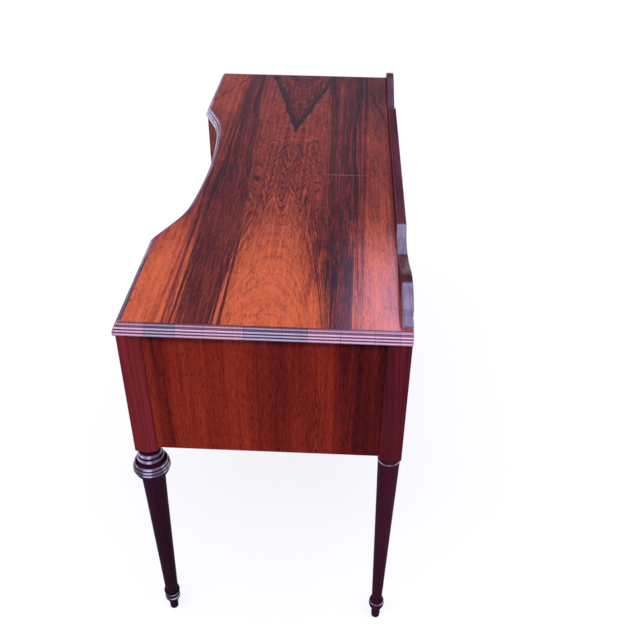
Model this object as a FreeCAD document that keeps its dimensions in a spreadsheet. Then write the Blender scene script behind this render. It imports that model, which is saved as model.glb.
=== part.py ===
import FreeCAD, Part
import math
import os
import re

import Sketcher

# Kneehole writing desk in rosewood: a veneered top with a reeded edge whose front sweeps inwards over
# the knees, a low shaped gallery along the back edge, two drawer pedestals, a concave drawer between
# them and four turned legs.  Millimetres.  +X is the sitter's right, +Y runs from the front to the back,
# +Z is up, and the origin lies on the floor below the middle of the desk's overall length and depth.

Vector = FreeCAD.Vector

# --- Driving dimensions -----------------------------------------------------------------------------

SIZES = {
    # the top and the carcass under it
    "top_length": 1208.0,
    "top_depth": 475.0,
    "top_height": 760.0,
    "top_thickness": 20.0,
    "edge_width": 14.0,
    "end_overhang": 5.6,
    "front_overhang": 4.0,
    "case_bottom": 490.0,
    "post_width": 41.0,
    "post_rounding": 4.5,
    "post_bottom": 478.5,
    "panel_thickness": 14.0,
    "panel_setback": 4.0,
    "panel_tongue": 6.0,
    "tongue_thickness": 7.0,
    "back_thickness": 10.0,
    "kneehole_half_width": 325.0,
    "side_thickness": 16.0,
    "bottom_thickness": 14.0,
    "housing": 5.0,
    # the recess over the knees, measured on the outermost bead of the edge
    "recess_half_width": 324.0,
    "recess_depth": 58.6,
    "recess_angle": 23.3,
    "recess_shoulder": 265.0,
    "recess_middle": 1720.0,
    "recess_lead": 30.0,
    # rails, runners and kickers
    "rail_thickness": 13.0,
    "rail_depth": 45.0,
    "tenon_length": 12.0,
    "tenon_width": 15.0,
    "tenon_inset": 12.0,
    "centre_floor": 645.0,
    "inner_runner": 28.0,
    "outer_runner": 35.0,
    "guide_height": 12.0,
    "guide_clearance": 0.3,
    "stop_height": 5.0,
    "stop_length": 26.0,
    "stop_depth": 14.0,
    "stop_spread": 62.0,
    "block_length": 60.0,
    "block_size": 12.0,
    "block_pitch": 90.0,
    # drawers
    "drawer_gap": 0.5,
    "drawer_setback": 1.0,
    "front_thickness": 20.0,
    "front_lap": 5.0,
    "lining": 9.0,
    "lining_dado": 3.0,
    "drawer_depth": 428.0,
    "back_inset": 10.0,
    "side_drop": 4.0,
    "back_drop": 10.0,
    "panel_lift": 8.0,
    "panel_sheet": 5.0,
    "panel_groove": 4.0,
    "tail_wide": 20.0,
    "tail_narrow": 15.0,
    # brass knobs and locks
    "knob_seat": 14.0,
    "wide_knob_angle": 4.3,
    "knob_rise": 0.03,
    "spigot_clearance": 0.05,
    "lock_width": 44.0,
    "lock_height": 28.0,
    "lock_thickness": 9.0,
    "keyhole_width": 4.0,
    "keyhole_height": 11.0,
    # the gallery along the back edge
    "gallery_thickness": 18.0,
}

# Turned and moulded outlines.  A station is (name, across, up, curve): the corner's two coordinates and
# the radius of the arc that reaches it from the corner before, positive where it swells to the right of
# the way travelled and negative where it is hollow.  A curve of 0 is a straight line, which the small
# beads and rings are drawn with, so that the turned and moulded pieces stay light.

FRONT_LEG = (
    ("toe", 7.8, 0.0, 0.0),
    ("toe_edge", 9.0, 1.5, 0.0),
    ("peg_head", 9.0, 27.5, 0.0),
    ("bulb_base", 10.6, 27.5, 0.0),
    ("bulb_low", 14.2, 31.0, 0.0),
    ("bulb_wide", 15.6, 36.5, 0.0),
    ("bulb_head", 14.4, 44.0, 0.0),
    ("waist", 13.2, 46.6, 0.0),
    ("vase_base", 15.1, 50.0, 0.0),
    ("vase", 14.9, 57.0, 0.0),
    ("ankle", 12.9, 66.5, 0.0),
    ("thigh", 19.9, 345.0, 0.0),
    ("knee", 22.3, 411.0, 0.0),
    ("cup_base", 23.8, 413.0, 0.0),
    ("cup_swell", 29.2, 417.0, 0.0),
    ("cup_rim", 31.9, 424.5, 0.0),
    ("low_reed", 34.2, 428.5, 0.0),
    ("low_quirk", 32.3, 432.5, 0.0),
    ("mid_reed", 32.9, 436.0, 0.0),
    ("mid_quirk", 30.1, 439.0, 0.0),
    ("high_reed", 29.6, 443.2, 0.0),
    ("cup_seat", 24.2, 446.0, 0.0),
    ("cup_hollow", 22.8, 451.0, 0.0),
    ("wide_ring_low", 24.6, 453.8, 0.0),
    ("wide_ring_high", 23.8, 457.2, 0.0),
    ("ring_quirk", 19.8, 460.0, 0.0),
    ("thin_ring_low", 21.7, 462.8, 0.0),
    ("thin_ring_high", 21.5, 466.4, 0.0),
    ("neck_base", 17.2, 469.5, 0.0),
    ("neck_head", 17.2, 475.0, 0.0),
    ("collarette", 18.9, 477.2, 0.0),
    ("core", 17.6, 484.0, 0.0),
    ("axis_head", 0.0, 484.0, 0.0),
    ("axis_foot", 0.0, 0.0, 0.0),
)

REAR_LEG = (
    ("toe", 8.1, 0.0, 0.0),
    ("toe_edge", 9.3, 1.5, 0.0),
    ("peg_head", 9.3, 29.0, 0.0),
    ("bulb_base", 10.6, 29.0, 0.0),
    ("bulb_low", 14.2, 36.5, 0.0),
    ("bulb_wide", 15.4, 45.0, 0.0),
    ("bulb_head", 13.5, 57.0, 0.0),
    ("flare", 11.4, 63.5, 0.0),
    ("ankle", 10.6, 72.0, 0.0),
    ("thigh", 20.2, 467.0, 0.0),
    ("shoulder", 20.5, 471.0, 0.0),
    ("neck", 18.0, 474.5, 0.0),
    ("core", 18.0, 484.0, 0.0),
    ("axis_head", 0.0, 484.0, 0.0),
    ("axis_foot", 0.0, 0.0, 0.0),
)

POMMEL = (
    ("inner", 19.2, 478.5, 0.0),
    ("outer", 31.0, 478.5, 0.0),
    ("crown", 31.0, 482.5, 0.0),
    ("edge", 28.4, 482.5, 0.0),
)

KNOB = (
    ("spigot", 4.0, 0.0, 0.0),
    ("neck", 4.0, 22.0, 0.0),
    ("rim_back", 8.5, 22.0, 0.0),
    ("rim", 8.5, 32.0, 0.0),
    ("crown_edge", 6.8, 34.0, 0.0),
    ("crown", 0.0, 34.0, 0.0),
    ("axis_foot", 0.0, 0.0, 0.0),
)

# The reeded edge in section: across is measured out from the veneered field, up from its underside.
EDGE = (
    ("heel", 0.0, 0.0, 0.0),
    ("underside", 12.4, 0.0, 0.0),
    ("bead_low", 14.0, 1.6, 0.0),
    ("bead_high", 13.8, 4.3, 0.0),
    ("bead_quirk", 11.2, 6.0, 0.0),
    ("low_reed", 12.1, 7.8, 0.0),
    ("low_reed_head", 11.2, 9.6, 0.0),
    ("reed_quirk", 9.6, 10.2, 0.0),
    ("high_reed", 10.2, 12.2, 0.0),
    ("high_reed_head", 9.0, 14.3, 0.0),
    ("cove", 6.4, 15.4, 0.0),
    ("fillet_reed", 5.9, 17.8, 0.0),
    ("fillet", 3.4, 19.4, 0.0),
    ("field", 0.0, 19.4, 0.0),
)

# Half of the gallery's outline, seen from the front: across from the middle, up from the desk top.
GALLERY = (
    ("foot", 584.0, 0.0, 0.0),
    ("toe", 584.0, 6.0, 0.0),
    ("step", 563.0, 8.0, 0.0),
    ("rise", 558.0, 21.5, 0.0),
    ("peak", 507.0, 37.0, 92.0),
    ("swell", 444.0, 25.0, 171.0),
    ("notch", 327.0, 4.0, -336.0),
    ("riser", 308.0, 14.5, -22.5),
    ("shelf", 289.0, 25.0, 22.5),
    ("crest", 0.0, 25.0, 0.0),
    ("base", 0.0, 0.0, 0.0),
)

OUTLINES = {
    "front_leg": FRONT_LEG,
    "rear_leg": REAR_LEG,
    "pommel": POMMEL,
    "knob": KNOB,
    "edge": EDGE,
    "gallery": GALLERY,
}

# --- The document and its sheet -----------------------------------------------------------------------

DOCUMENT = FreeCAD.newDocument("KneeholeDesk")


def sheet_rows():
    """Every driving dimension with its alias: the sizes, then the stations of each outline."""
    rows = dict(SIZES)
    for outline, stations in OUTLINES.items():
        for name, across, up, curve in stations:
            rows[f"{outline}_{name}_across"] = across
            rows[f"{outline}_{name}_up"] = up
            if curve:
                rows[f"{outline}_{name}_curve"] = abs(curve)
    return rows


ROWS = sheet_rows()
ALIAS = re.compile(r"\b(" + "|".join(sorted(ROWS, key=len, reverse=True)) + r")\b")


def make_sheet():
    """Write the driving dimensions to the spreadsheet, one row each."""
    sheet = DOCUMENT.addObject("Spreadsheet::Sheet", "Sizes")
    for row, (alias, number) in enumerate(ROWS.items(), start=1):
        sheet.set(f"A{row}", alias.replace("_", " "))
        sheet.set(f"B{row}", str(number))
        sheet.setAlias(f"B{row}", alias)
    DOCUMENT.recompute()


make_sheet()


def bind(item, path, formula):
    """Bind one property of an object to a formula of the sheet's aliases."""
    item.setExpression(path, ALIAS.sub(r"Sizes.\1", str(formula)))


# --- Places worked out from the sheet -----------------------------------------------------------------

# How far every cutter runs on past the wood that it takes away.
OVERRUN = 5.0

KNOB_REACH = "(knob_crown_up - knob_seat - front_overhang - drawer_setback)"
FRONT = f"(({KNOB_REACH} - top_depth) / 2)"
BACK = f"(({KNOB_REACH} + top_depth) / 2)"
CASE_FRONT = f"({FRONT} + front_overhang)"
UNDERSIDE = "(top_height - top_thickness)"
POST_OUTER = "(top_length / 2 - end_overhang)"
POST_INNER = f"({POST_OUTER} - post_width)"
POST_AXIS = f"({POST_OUTER} - post_width / 2)"
FRONT_POST_BACK = f"({CASE_FRONT} + post_width)"
REAR_POST_FRONT = f"({BACK} - post_width)"
PANEL_OUTER = f"({POST_OUTER} - panel_setback)"
PANEL_INNER = f"({PANEL_OUTER} - panel_thickness)"
PANEL_MIDDLE = f"({PANEL_OUTER} - panel_thickness / 2)"
BACK_OUTER = f"({BACK} - panel_setback)"
BACK_INNER = f"({BACK_OUTER} - back_thickness)"
BACK_MIDDLE = f"({BACK_OUTER} - back_thickness / 2)"
SIDE_KNEE = "kneehole_half_width"
SIDE_INNER = "(kneehole_half_width + side_thickness)"
CASE_FLOOR = "(case_bottom + bottom_thickness)"
RAIL_BACK = f"({CASE_FRONT} + rail_depth)"
CENTRE_RAIL_BACK = f"({FRONT} + recess_depth + front_overhang + rail_depth)"
TOP_RAIL = f"({UNDERSIDE} - rail_thickness)"
OPENING_HEIGHT = f"(({TOP_RAIL} - {CASE_FLOOR} - rail_thickness) / 2)"
DIVIDER = f"({CASE_FLOOR} + {OPENING_HEIGHT})"
DIVIDER_TOP = f"({DIVIDER} + rail_thickness)"
CENTRE_RAIL = "(centre_floor - rail_thickness)"
DRAWER_FACE = f"({CASE_FRONT} + drawer_setback)"
DRAWER_SHOULDER = f"({DRAWER_FACE} + front_thickness)"
DRAWER_END = f"({DRAWER_FACE} + drawer_depth)"
FACE_OFFSET = "(front_overhang + drawer_setback)"
FACE_SIZE = SIZES["front_overhang"] + SIZES["drawer_setback"]
CENTRE_REACH = (f"centre_floor - {OVERRUN}", f"{UNDERSIDE} + {OVERRUN}")


# --- General shapes -----------------------------------------------------------------------------------


def board(name, across, along, up):
    """A rectangular board between two formulas on each axis."""
    box = DOCUMENT.addObject("Part::Box", name)
    for side, axis, (low, high) in zip(("Length", "Width", "Height"), "xyz", (across, along, up)):
        bind(box, f"Placement.Base.{axis}", low)
        bind(box, side, f"({high}) - ({low})")
    return box


def together(name, pieces):
    """Several pieces as one group of separate solids."""
    group = DOCUMENT.addObject("Part::Compound", name)
    group.Links = pieces
    return group


def joined(name, pieces):
    """Several touching pieces fused into one solid."""
    solid = DOCUMENT.addObject("Part::MultiFuse", name)
    solid.Shapes = pieces
    solid.Refine = True
    return solid


def cut(name, base, tools):
    """A piece with the mating pieces or cutters taken out of it."""
    solid = DOCUMENT.addObject("Part::Cut", name)
    solid.Base = base
    solid.Tool = tools[0] if len(tools) == 1 else together(f"{name}_cutters", tools)
    solid.Refine = True
    return solid


def mirrored(name, source):
    """The same piece on the other side of the desk's middle."""
    twin = DOCUMENT.addObject("Part::Mirroring", name)
    twin.Source = source
    twin.Normal = Vector(1, 0, 0)
    return twin


def origin_plane(body, role):
    """One of the body's own origin planes."""
    return next(feature for feature in body.Origin.OriginFeatures if feature.Role == role)


def new_body(name, across="0", along="0", up="0", turn=None):
    """An empty body at a place, turned by an optional rotation."""
    body = DOCUMENT.addObject("PartDesign::Body", name)
    if turn:
        body.Placement = FreeCAD.Placement(Vector(), turn)
    for axis, formula in zip("xyz", (across, along, up)):
        bind(body, f"Placement.Base.{axis}", formula)
    return body


def new_sketch(body, name, role):
    """An empty sketch on one of the body's origin planes."""
    sketch = body.newObject("Sketcher::SketchObject", name)
    sketch.AttachmentSupport = [(origin_plane(body, role), "")]
    sketch.MapMode = "FlatFace"
    return sketch


def arc_between(start, end, radius):
    """The short arc of a radius from start to end, and whether the sketch holds it start first."""
    chord = end - start
    half = chord.Length / 2
    left = Vector(-chord.y, chord.x, 0).normalize()
    rise = math.sqrt(radius * radius - half * half)
    centre = (start + end) / 2 + left * math.copysign(rise, radius)
    first, last = (start, end) if radius > 0 else (end, start)
    angles = [math.atan2(point.y - centre.y, point.x - centre.x) for point in (first, last)]
    circle = Part.Circle(centre, Vector(0, 0, 1), abs(radius))
    return Part.ArcOfCircle(circle, angles[0], angles[1]), radius > 0


def outline_sketch(body, name, outline):
    """Draw a closed outline of stations on the body's XZ plane, each corner and arc bound to its cells."""
    stations = OUTLINES[outline]
    sketch = new_sketch(body, name, "XZ_Plane")
    corners = [Vector(across, up, 0) for _, across, up, _ in stations]
    begins = []
    ends = []
    arcs = []
    for index, corner in enumerate(corners):
        following = (index + 1) % len(corners)
        curve = stations[following][3]
        if curve:
            shape, forward = arc_between(corner, corners[following], curve)
            arcs.append((index, f"{outline}_{stations[following][0]}_curve", abs(curve)))
        else:
            shape, forward = Part.LineSegment(corner, corners[following]), True
        sketch.addGeometry(shape)
        begins.append(1 if forward else 2)
        ends.append(2 if forward else 1)
    rules = []
    cells = []
    for index, (station, across, up, _) in enumerate(stations):
        before = index - 1 if index else len(stations) - 1
        rules.append(Sketcher.Constraint("Coincident", before, ends[before], index, begins[index]))
        for kind, size, axis in (("DistanceX", across, -2), ("DistanceY", up, -1)):
            if size:
                word = "across" if kind == "DistanceX" else "up"
                cells.append((len(rules), f"{outline}_{station}_{word}"))
                rules.append(Sketcher.Constraint(kind, -1, 1, index, begins[index], size))
            else:
                rules.append(Sketcher.Constraint("PointOnObject", index, begins[index], axis))
    for index, cell, radius in arcs:
        cells.append((len(rules), cell))
        rules.append(Sketcher.Constraint("Radius", index, radius))
    sketch.addConstraint(rules)
    for index, cell in cells:
        bind(sketch, f"Constraints[{index}]", cell)
    return sketch


def revolve(body, name, kind, sketch):
    """Turn a sketch once round its own upright axis."""
    turned = body.newObject(f"PartDesign::{kind}", name)
    turned.Profile = sketch
    turned.ReferenceAxis = (sketch, ["V_Axis"])
    turned.Angle = 360
    return turned


def pad(body, name, sketch, length):
    """Push a sketch out of its plane by a formula."""
    solid = body.newObject("PartDesign::Pad", name)
    solid.Profile = sketch
    bind(solid, "Length", length)
    return solid


def mirror_in_body(body, name, feature):
    """Repeat the body's feature on the other side of its YZ plane."""
    twin = body.newObject("PartDesign::Mirrored", name)
    twin.Originals = [feature]
    twin.MirrorPlane = (origin_plane(body, "YZ_Plane"), [""])
    body.Tip = twin
    return twin


# --- The recess over the knees ------------------------------------------------------------------------


def recess_points(offset):
    """Corner points of the right half of the recess, moved into the wood by an offset.

    They are measured from the middle of a line that lies recess_lead in front of the edge's front bead,
    and run from the foot on that line to the end of the straight, the end of the shoulder arc and the
    middle of the recess.
    """
    slope = math.radians(SIZES["recess_angle"])
    lead = SIZES["recess_lead"]
    shoulder = SIZES["recess_shoulder"] + offset
    middle = SIZES["recess_middle"] + offset
    across = SIZES["recess_half_width"] + lead / math.tan(slope) + offset / math.sin(slope)
    foot = Vector(across, 0, 0)
    crest = Vector(0, lead + SIZES["recess_depth"] + offset, 0)
    middle_centre = crest - Vector(0, middle, 0)
    away = Vector(-math.sin(slope), -math.cos(slope), 0)
    along = Vector(-math.cos(slope), math.sin(slope), 0)
    start = foot + away * shoulder - middle_centre
    reach = middle - shoulder
    half = start.dot(along)
    run = -half + math.sqrt(half * half - start.dot(start) + reach * reach)
    straight_end = foot + along * run
    shoulder_centre = straight_end + away * shoulder
    shoulder_end = middle_centre + (shoulder_centre - middle_centre).normalize() * middle
    return foot, straight_end, shoulder_centre, shoulder_end, middle_centre, crest


def arc_about(centre, first, last):
    """The arc round a centre from the first point to the last, anticlockwise."""
    radius = (first - centre).Length
    angles = [math.atan2(point.y - centre.y, point.x - centre.x) for point in (first, last)]
    return Part.ArcOfCircle(Part.Circle(centre, Vector(0, 0, 1), radius), angles[0], angles[1])


def recess_foot(offset):
    """Formula of the place where the straight part meets the leading line."""
    slope = "(recess_angle * 1deg)"
    return f"recess_half_width + recess_lead / tan({slope}) + ({offset}) / sin({slope})"


def recess_space(name, offset, offset_size, low, high):
    """The space in front of the recess's curve moved into the wood by an offset, as a cutter."""
    body = new_body(name, along=f"{FRONT} - recess_lead", up=low)
    sketch = new_sketch(body, f"{name}_plan", "XY_Plane")
    foot, straight_end, shoulder_centre, shoulder_end, middle_centre, crest = recess_points(offset_size)
    sketch.addGeometry(Part.LineSegment(Vector(), foot))
    sketch.addGeometry(Part.LineSegment(foot, straight_end))
    sketch.addGeometry(arc_about(shoulder_centre, straight_end, shoulder_end))
    sketch.addGeometry(arc_about(middle_centre, shoulder_end, crest))
    sketch.addGeometry(Part.LineSegment(crest, Vector()))
    rule = Sketcher.Constraint
    slope = math.radians(180 - SIZES["recess_angle"])
    sketch.addConstraint([
        rule("DistanceX", 0, 1, 0, 2, foot.x),
        rule("Angle", 1, slope),
        rule("Radius", 2, SIZES["recess_shoulder"] + offset_size),
        rule("Radius", 3, SIZES["recess_middle"] + offset_size),
        rule("DistanceY", -1, 1, 3, 2, crest.y),
        rule("Coincident", 0, 1, -1, 1),
        rule("PointOnObject", 0, 2, -1),
        rule("Coincident", 0, 2, 1, 1),
        rule("Tangent", 1, 2, 2, 1),
        rule("Tangent", 2, 2, 3, 1),
        rule("PointOnObject", 3, 3, -2),
        rule("PointOnObject", 3, 2, -2),
        rule("Coincident", 3, 2, 4, 1),
        rule("Coincident", 4, 2, -1, 1),
    ])
    bind(sketch, "Constraints[0]", recess_foot(offset))
    bind(sketch, "Constraints[1]", "(180 - recess_angle) * 1deg")
    bind(sketch, "Constraints[2]", f"recess_shoulder + {offset}")
    bind(sketch, "Constraints[3]", f"recess_middle + {offset}")
    bind(sketch, "Constraints[4]", f"recess_lead + recess_depth + {offset}")
    half = pad(body, f"{name}_half", sketch, f"({high}) - ({low})")
    mirror_in_body(body, f"{name}_whole", half)
    return body


# --- The top, its edge and its gallery ----------------------------------------------------------------

FIELD_HALF = "(top_length / 2 - edge_width)"
FIELD_FRONT = f"({FRONT} + edge_width)"
MITRE_ROOM = 160.0


def make_top():
    """The veneered top board, with the recess cut out of its front."""
    blank = board("top_blank", (f"-{FIELD_HALF}", FIELD_HALF), (FIELD_FRONT, BACK), (UNDERSIDE, "top_height"))
    reach = (f"{UNDERSIDE} - {OVERRUN}", f"top_height + {OVERRUN}")
    space = recess_space("top_recess", "edge_width", SIZES["edge_width"], *reach)
    return cut("top_panel", blank, [space])


def edge_blank(name, across, along, length, turn_degrees):
    """A straight length of the reeded edge, still square at its ends."""
    turn = FreeCAD.Rotation(Vector(0, 0, 1), turn_degrees)
    body = new_body(name, across, along, UNDERSIDE, turn)
    sketch = outline_sketch(body, f"{name}_section", "edge")
    run = pad(body, f"{name}_run", sketch, length)
    run.Reversed = True
    return body


def mitre_block(name, across, along, angle, lean, side):
    """A cutter with one upright face through a corner of the edge, at an angle from the Y axis.

    The face leans towards +X on its way back where lean is 1 and towards -X where it is -1.  The block
    lies on the +X side of the face where side is 1 and on the -X side where it is -1.
    """
    block = DOCUMENT.addObject("Part::Box", name)
    block.Length = MITRE_ROOM
    block.Width = 2 * MITRE_ROOM
    bind(block, "Height", f"top_thickness + {2 * OVERRUN}")
    block.Placement = FreeCAD.Placement(Vector(), FreeCAD.Rotation(Vector(0, 0, -lean), 1))
    turn = f"(({angle}) * 1deg)"
    bind(block, "Placement.Rotation.Angle", turn)
    back = -MITRE_ROOM
    out = 0 if side > 0 else back
    bind(block, "Placement.Base.x", f"({across}) + {out} * cos{turn} + {lean * back} * sin{turn}")
    bind(block, "Placement.Base.y", f"({along}) - {lean * out} * sin{turn} + {back} * cos{turn}")
    bind(block, "Placement.Base.z", f"{UNDERSIDE} - {OVERRUN}")
    return block


def make_edges():
    """The five reeded mouldings round the front and the ends, mitred to each other."""
    corner = ("top_length / 2", FRONT, "45", -1)
    cusp = ("recess_half_width", FRONT, "recess_angle / 2", 1)
    end = edge_blank("end_edge_blank", FIELD_HALF, FRONT, f"{BACK} - {FRONT}", 0)
    right_end = cut("edge_end_right", end, [mitre_block("end_mitre", *corner, -1)])
    run = f"top_length / 2 - recess_half_width + {4 * OVERRUN}"
    front = edge_blank("front_edge_blank", f"recess_half_width - {2 * OVERRUN}", FIELD_FRONT, run, -90)
    corner_cut = mitre_block("front_corner_mitre", *corner, 1)
    cusp_cut = mitre_block("front_cusp_mitre", *cusp, -1)
    right_front = cut("edge_front_right", front, [corner_cut, cusp_cut])
    pieces = [right_end, right_front]
    pieces += [mirrored("edge_end_left", right_end), mirrored("edge_front_left", right_front)]
    bow = make_bow_blank()
    right_cut = mitre_block("bow_mitre_right", *cusp, 1)
    left_cut = mirrored("bow_mitre_left", right_cut)
    pieces.append(cut("edge_bow", bow, [right_cut, left_cut]))
    return pieces


def make_bow_blank():
    """The reeded edge swept round the recess, running on past both cusps."""
    turn = FreeCAD.Rotation(Vector(0, 0, 1), -90)
    body = new_body("bow_blank", "0", f"{FRONT} + recess_depth + edge_width", UNDERSIDE, turn)
    section = outline_sketch(body, "bow_section", "edge")
    offset = SIZES["edge_width"]
    foot, straight_end, shoulder_centre, shoulder_end, middle_centre, crest = recess_points(offset)

    def local(point):
        """A plan point in the body's own frame: its X runs to the front and its Y to the right."""
        return Vector(crest.y - point.y, point.x, 0)

    spine = new_sketch(body, "bow_spine", "XY_Plane")
    spine.addGeometry(arc_about(local(middle_centre), local(shoulder_end), local(crest)))
    spine.addGeometry(arc_about(local(shoulder_centre), local(straight_end), local(shoulder_end)))
    spine.addGeometry(Part.LineSegment(local(straight_end), local(foot)))
    rule = Sketcher.Constraint
    spine.addConstraint([
        rule("Radius", 0, SIZES["recess_middle"] + offset),
        rule("Radius", 1, SIZES["recess_shoulder"] + offset),
        rule("Angle", 2, math.radians(90 - SIZES["recess_angle"])),
        rule("DistanceX", -1, 1, 2, 2, local(foot).x),
        rule("DistanceY", -1, 1, 2, 2, local(foot).y),
        rule("Coincident", 0, 2, -1, 1),
        rule("PointOnObject", 0, 3, -1),
        rule("Tangent", 0, 1, 1, 2),
        rule("Tangent", 1, 1, 2, 1),
    ])
    bind(spine, "Constraints[0]", "recess_middle + edge_width")
    bind(spine, "Constraints[1]", "recess_shoulder + edge_width")
    bind(spine, "Constraints[2]", "(90 - recess_angle) * 1deg")
    bind(spine, "Constraints[3]", "recess_lead + recess_depth + edge_width")
    bind(spine, "Constraints[4]", recess_foot("edge_width"))
    DOCUMENT.recompute()
    sweep = body.newObject("PartDesign::AdditivePipe", "bow_sweep")
    sweep.Profile = section
    sweep.Spine = (spine, ["Edge1", "Edge2", "Edge3"])
    twin = body.newObject("PartDesign::Mirrored", "bow_twin")
    twin.Originals = [sweep]
    twin.MirrorPlane = (origin_plane(body, "XZ_Plane"), [""])
    body.Tip = twin
    return body


def make_gallery():
    """The low shaped upstand on the back edge of the top."""
    body = new_body("back_gallery", along=BACK, up="top_height")
    sketch = outline_sketch(body, "gallery_outline", "gallery")
    half = pad(body, "gallery_half", sketch, "gallery_thickness")
    mirror_in_body(body, "gallery_whole", half)
    return body


# --- Legs ---------------------------------------------------------------------------------------------


def square_sketch(body, name):
    """The post's square section, centred on the leg's axis at the post's foot."""
    sketch = new_sketch(body, name, "XY_Plane")
    half = SIZES["post_width"] / 2
    corners = [Vector(-half, -half), Vector(half, -half), Vector(half, half), Vector(-half, half)]
    for index in range(4):
        sketch.addGeometry(Part.LineSegment(corners[index], corners[(index + 1) % 4]))
    rule = Sketcher.Constraint
    joints = [rule("Coincident", index, 2, (index + 1) % 4, 1) for index in range(4)]
    squares = [rule("Horizontal", 0), rule("Horizontal", 2), rule("Vertical", 1), rule("Vertical", 3)]
    centred = [rule("Symmetric", 0, 1, 1, 2, -1, 1)]
    widths = [rule("DistanceX", 0, 1, 0, 2, 2 * half), rule("DistanceY", 1, 1, 1, 2, 2 * half)]
    sketch.addConstraint(widths + joints + squares + centred)
    bind(sketch, "Constraints[0]", "post_width")
    bind(sketch, "Constraints[1]", "post_width")
    bind(sketch, "AttachmentOffset.Base.z", "post_bottom")
    return sketch


def make_leg(name, outline, along):
    """A leg turned from the square: rounded post, turned pommel, then the outline down to the floor."""
    body = new_body(f"{name}_blank", POST_AXIS, along)
    post = pad(body, f"{name}_post", square_sketch(body, f"{name}_square"), f"{UNDERSIDE} - post_bottom")
    DOCUMENT.recompute()
    upright = [
        f"Edge{index}"
        for index, edge in enumerate(post.Shape.Edges, start=1)
        if abs(edge.tangentAt(edge.FirstParameter).z) > 0.9
    ]
    rounding = body.newObject("PartDesign::Fillet", f"{name}_rounding")
    rounding.Base = (post, upright)
    bind(rounding, "Radius", "post_rounding")
    shoulder = outline_sketch(body, f"{name}_pommel", "pommel")
    revolve(body, f"{name}_shoulder", "Groove", shoulder)
    profile = outline_sketch(body, f"{name}_outline", outline)
    revolve(body, f"{name}_turning", "Revolution", profile)
    return body


# --- The carcass --------------------------------------------------------------------------------------


def rail_tenon(name, low):
    """The stub tenon of a pedestal rail in the front post, as deep as tenon_length."""
    across = (POST_INNER, f"{POST_INNER} + tenon_length")
    along = (f"{CASE_FRONT} + tenon_inset", f"{CASE_FRONT} + tenon_inset + tenon_width")
    return board(name, across, along, (low, f"({low}) + rail_thickness"))


def make_legs(tenons, end_panel, back_panel):
    """All four legs, with the mortises of the rails and the grooves of the panels in their posts."""
    front = make_leg("front_leg", "front_leg", f"{CASE_FRONT} + post_width / 2")
    rear = make_leg("rear_leg", "rear_leg", f"{BACK} - post_width / 2")
    front_right = cut("front_leg_right", front, tenons + [end_panel])
    rear_right = cut("rear_leg_right", rear, [end_panel, back_panel])
    twins = [mirrored("front_leg_left", front_right), mirrored("rear_leg_left", rear_right)]
    return [front_right, rear_right] + twins


def make_end_panel():
    """The veneered end panel with a tongue along each upright edge."""
    whole = (f"{FRONT_POST_BACK}", REAR_POST_FRONT)
    tongued = (f"{FRONT_POST_BACK} - panel_tongue", f"{REAR_POST_FRONT} + panel_tongue")
    tongue = (f"{PANEL_MIDDLE} - tongue_thickness / 2", f"{PANEL_MIDDLE} + tongue_thickness / 2")
    up = ("case_bottom", UNDERSIDE)
    field = board("end_field", (PANEL_INNER, PANEL_OUTER), whole, up)
    return joined("end_panel_right", [field, board("end_tongues", tongue, tongued, up)])


def make_back_panel():
    """The pedestal's back, tongued into the rear post."""
    up = ("case_bottom", UNDERSIDE)
    tongue = (f"{BACK_MIDDLE} - tongue_thickness / 2", f"{BACK_MIDDLE} + tongue_thickness / 2")
    field = board("back_field", (SIDE_KNEE, POST_INNER), (BACK_INNER, BACK_OUTER), up)
    edge = board("back_tongue", (POST_INNER, f"{POST_INNER} + panel_tongue"), tongue, up)
    return joined("back_panel_right", [field, edge])


def make_rails(space):
    """Front rails: above and between the pedestal drawers, and above and below the middle drawer."""
    across = (f"{SIDE_INNER} - housing", POST_INNER)
    along = (CASE_FRONT, RAIL_BACK)
    pieces = {}
    tenons = []
    for name, low in (("top_rail", TOP_RAIL), ("divider_rail", DIVIDER)):
        body = board(f"{name}_body", across, along, (low, f"{low} + rail_thickness"))
        tenon = rail_tenon(f"{name}_tenon", low)
        tenons.append(tenon)
        pieces[name] = joined(f"{name}_right", [body, tenon])
    wide = (f"-{SIDE_KNEE} - housing", f"{SIDE_KNEE} + housing")
    for name, low in (("centre_top_rail", TOP_RAIL), ("centre_bottom_rail", CENTRE_RAIL)):
        blank = board(f"{name}_blank", wide, (CASE_FRONT, CENTRE_RAIL_BACK), (low, f"{low} + rail_thickness"))
        pieces[name] = cut(name, blank, [space])
    return pieces, tenons


def post_space(name, along):
    """The square that a post takes out of the pedestal's bottom board."""
    up = (f"case_bottom - {OVERRUN}", f"{CASE_FLOOR} + {OVERRUN}")
    return board(name, (POST_INNER, POST_OUTER), along, up)


def make_pedestal_bottom():
    """The bottom board of the pedestal, notched round both posts."""
    blank = board(
        "bottom_blank",
        (f"{SIDE_INNER} - housing", PANEL_INNER),
        (CASE_FRONT, BACK_INNER),
        ("case_bottom", CASE_FLOOR),
    )
    front = post_space("front_post_space", (CASE_FRONT, FRONT_POST_BACK))
    rear = post_space("rear_post_space", (REAR_POST_FRONT, BACK))
    return cut("pedestal_bottom_right", blank, [front, rear])


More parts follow.
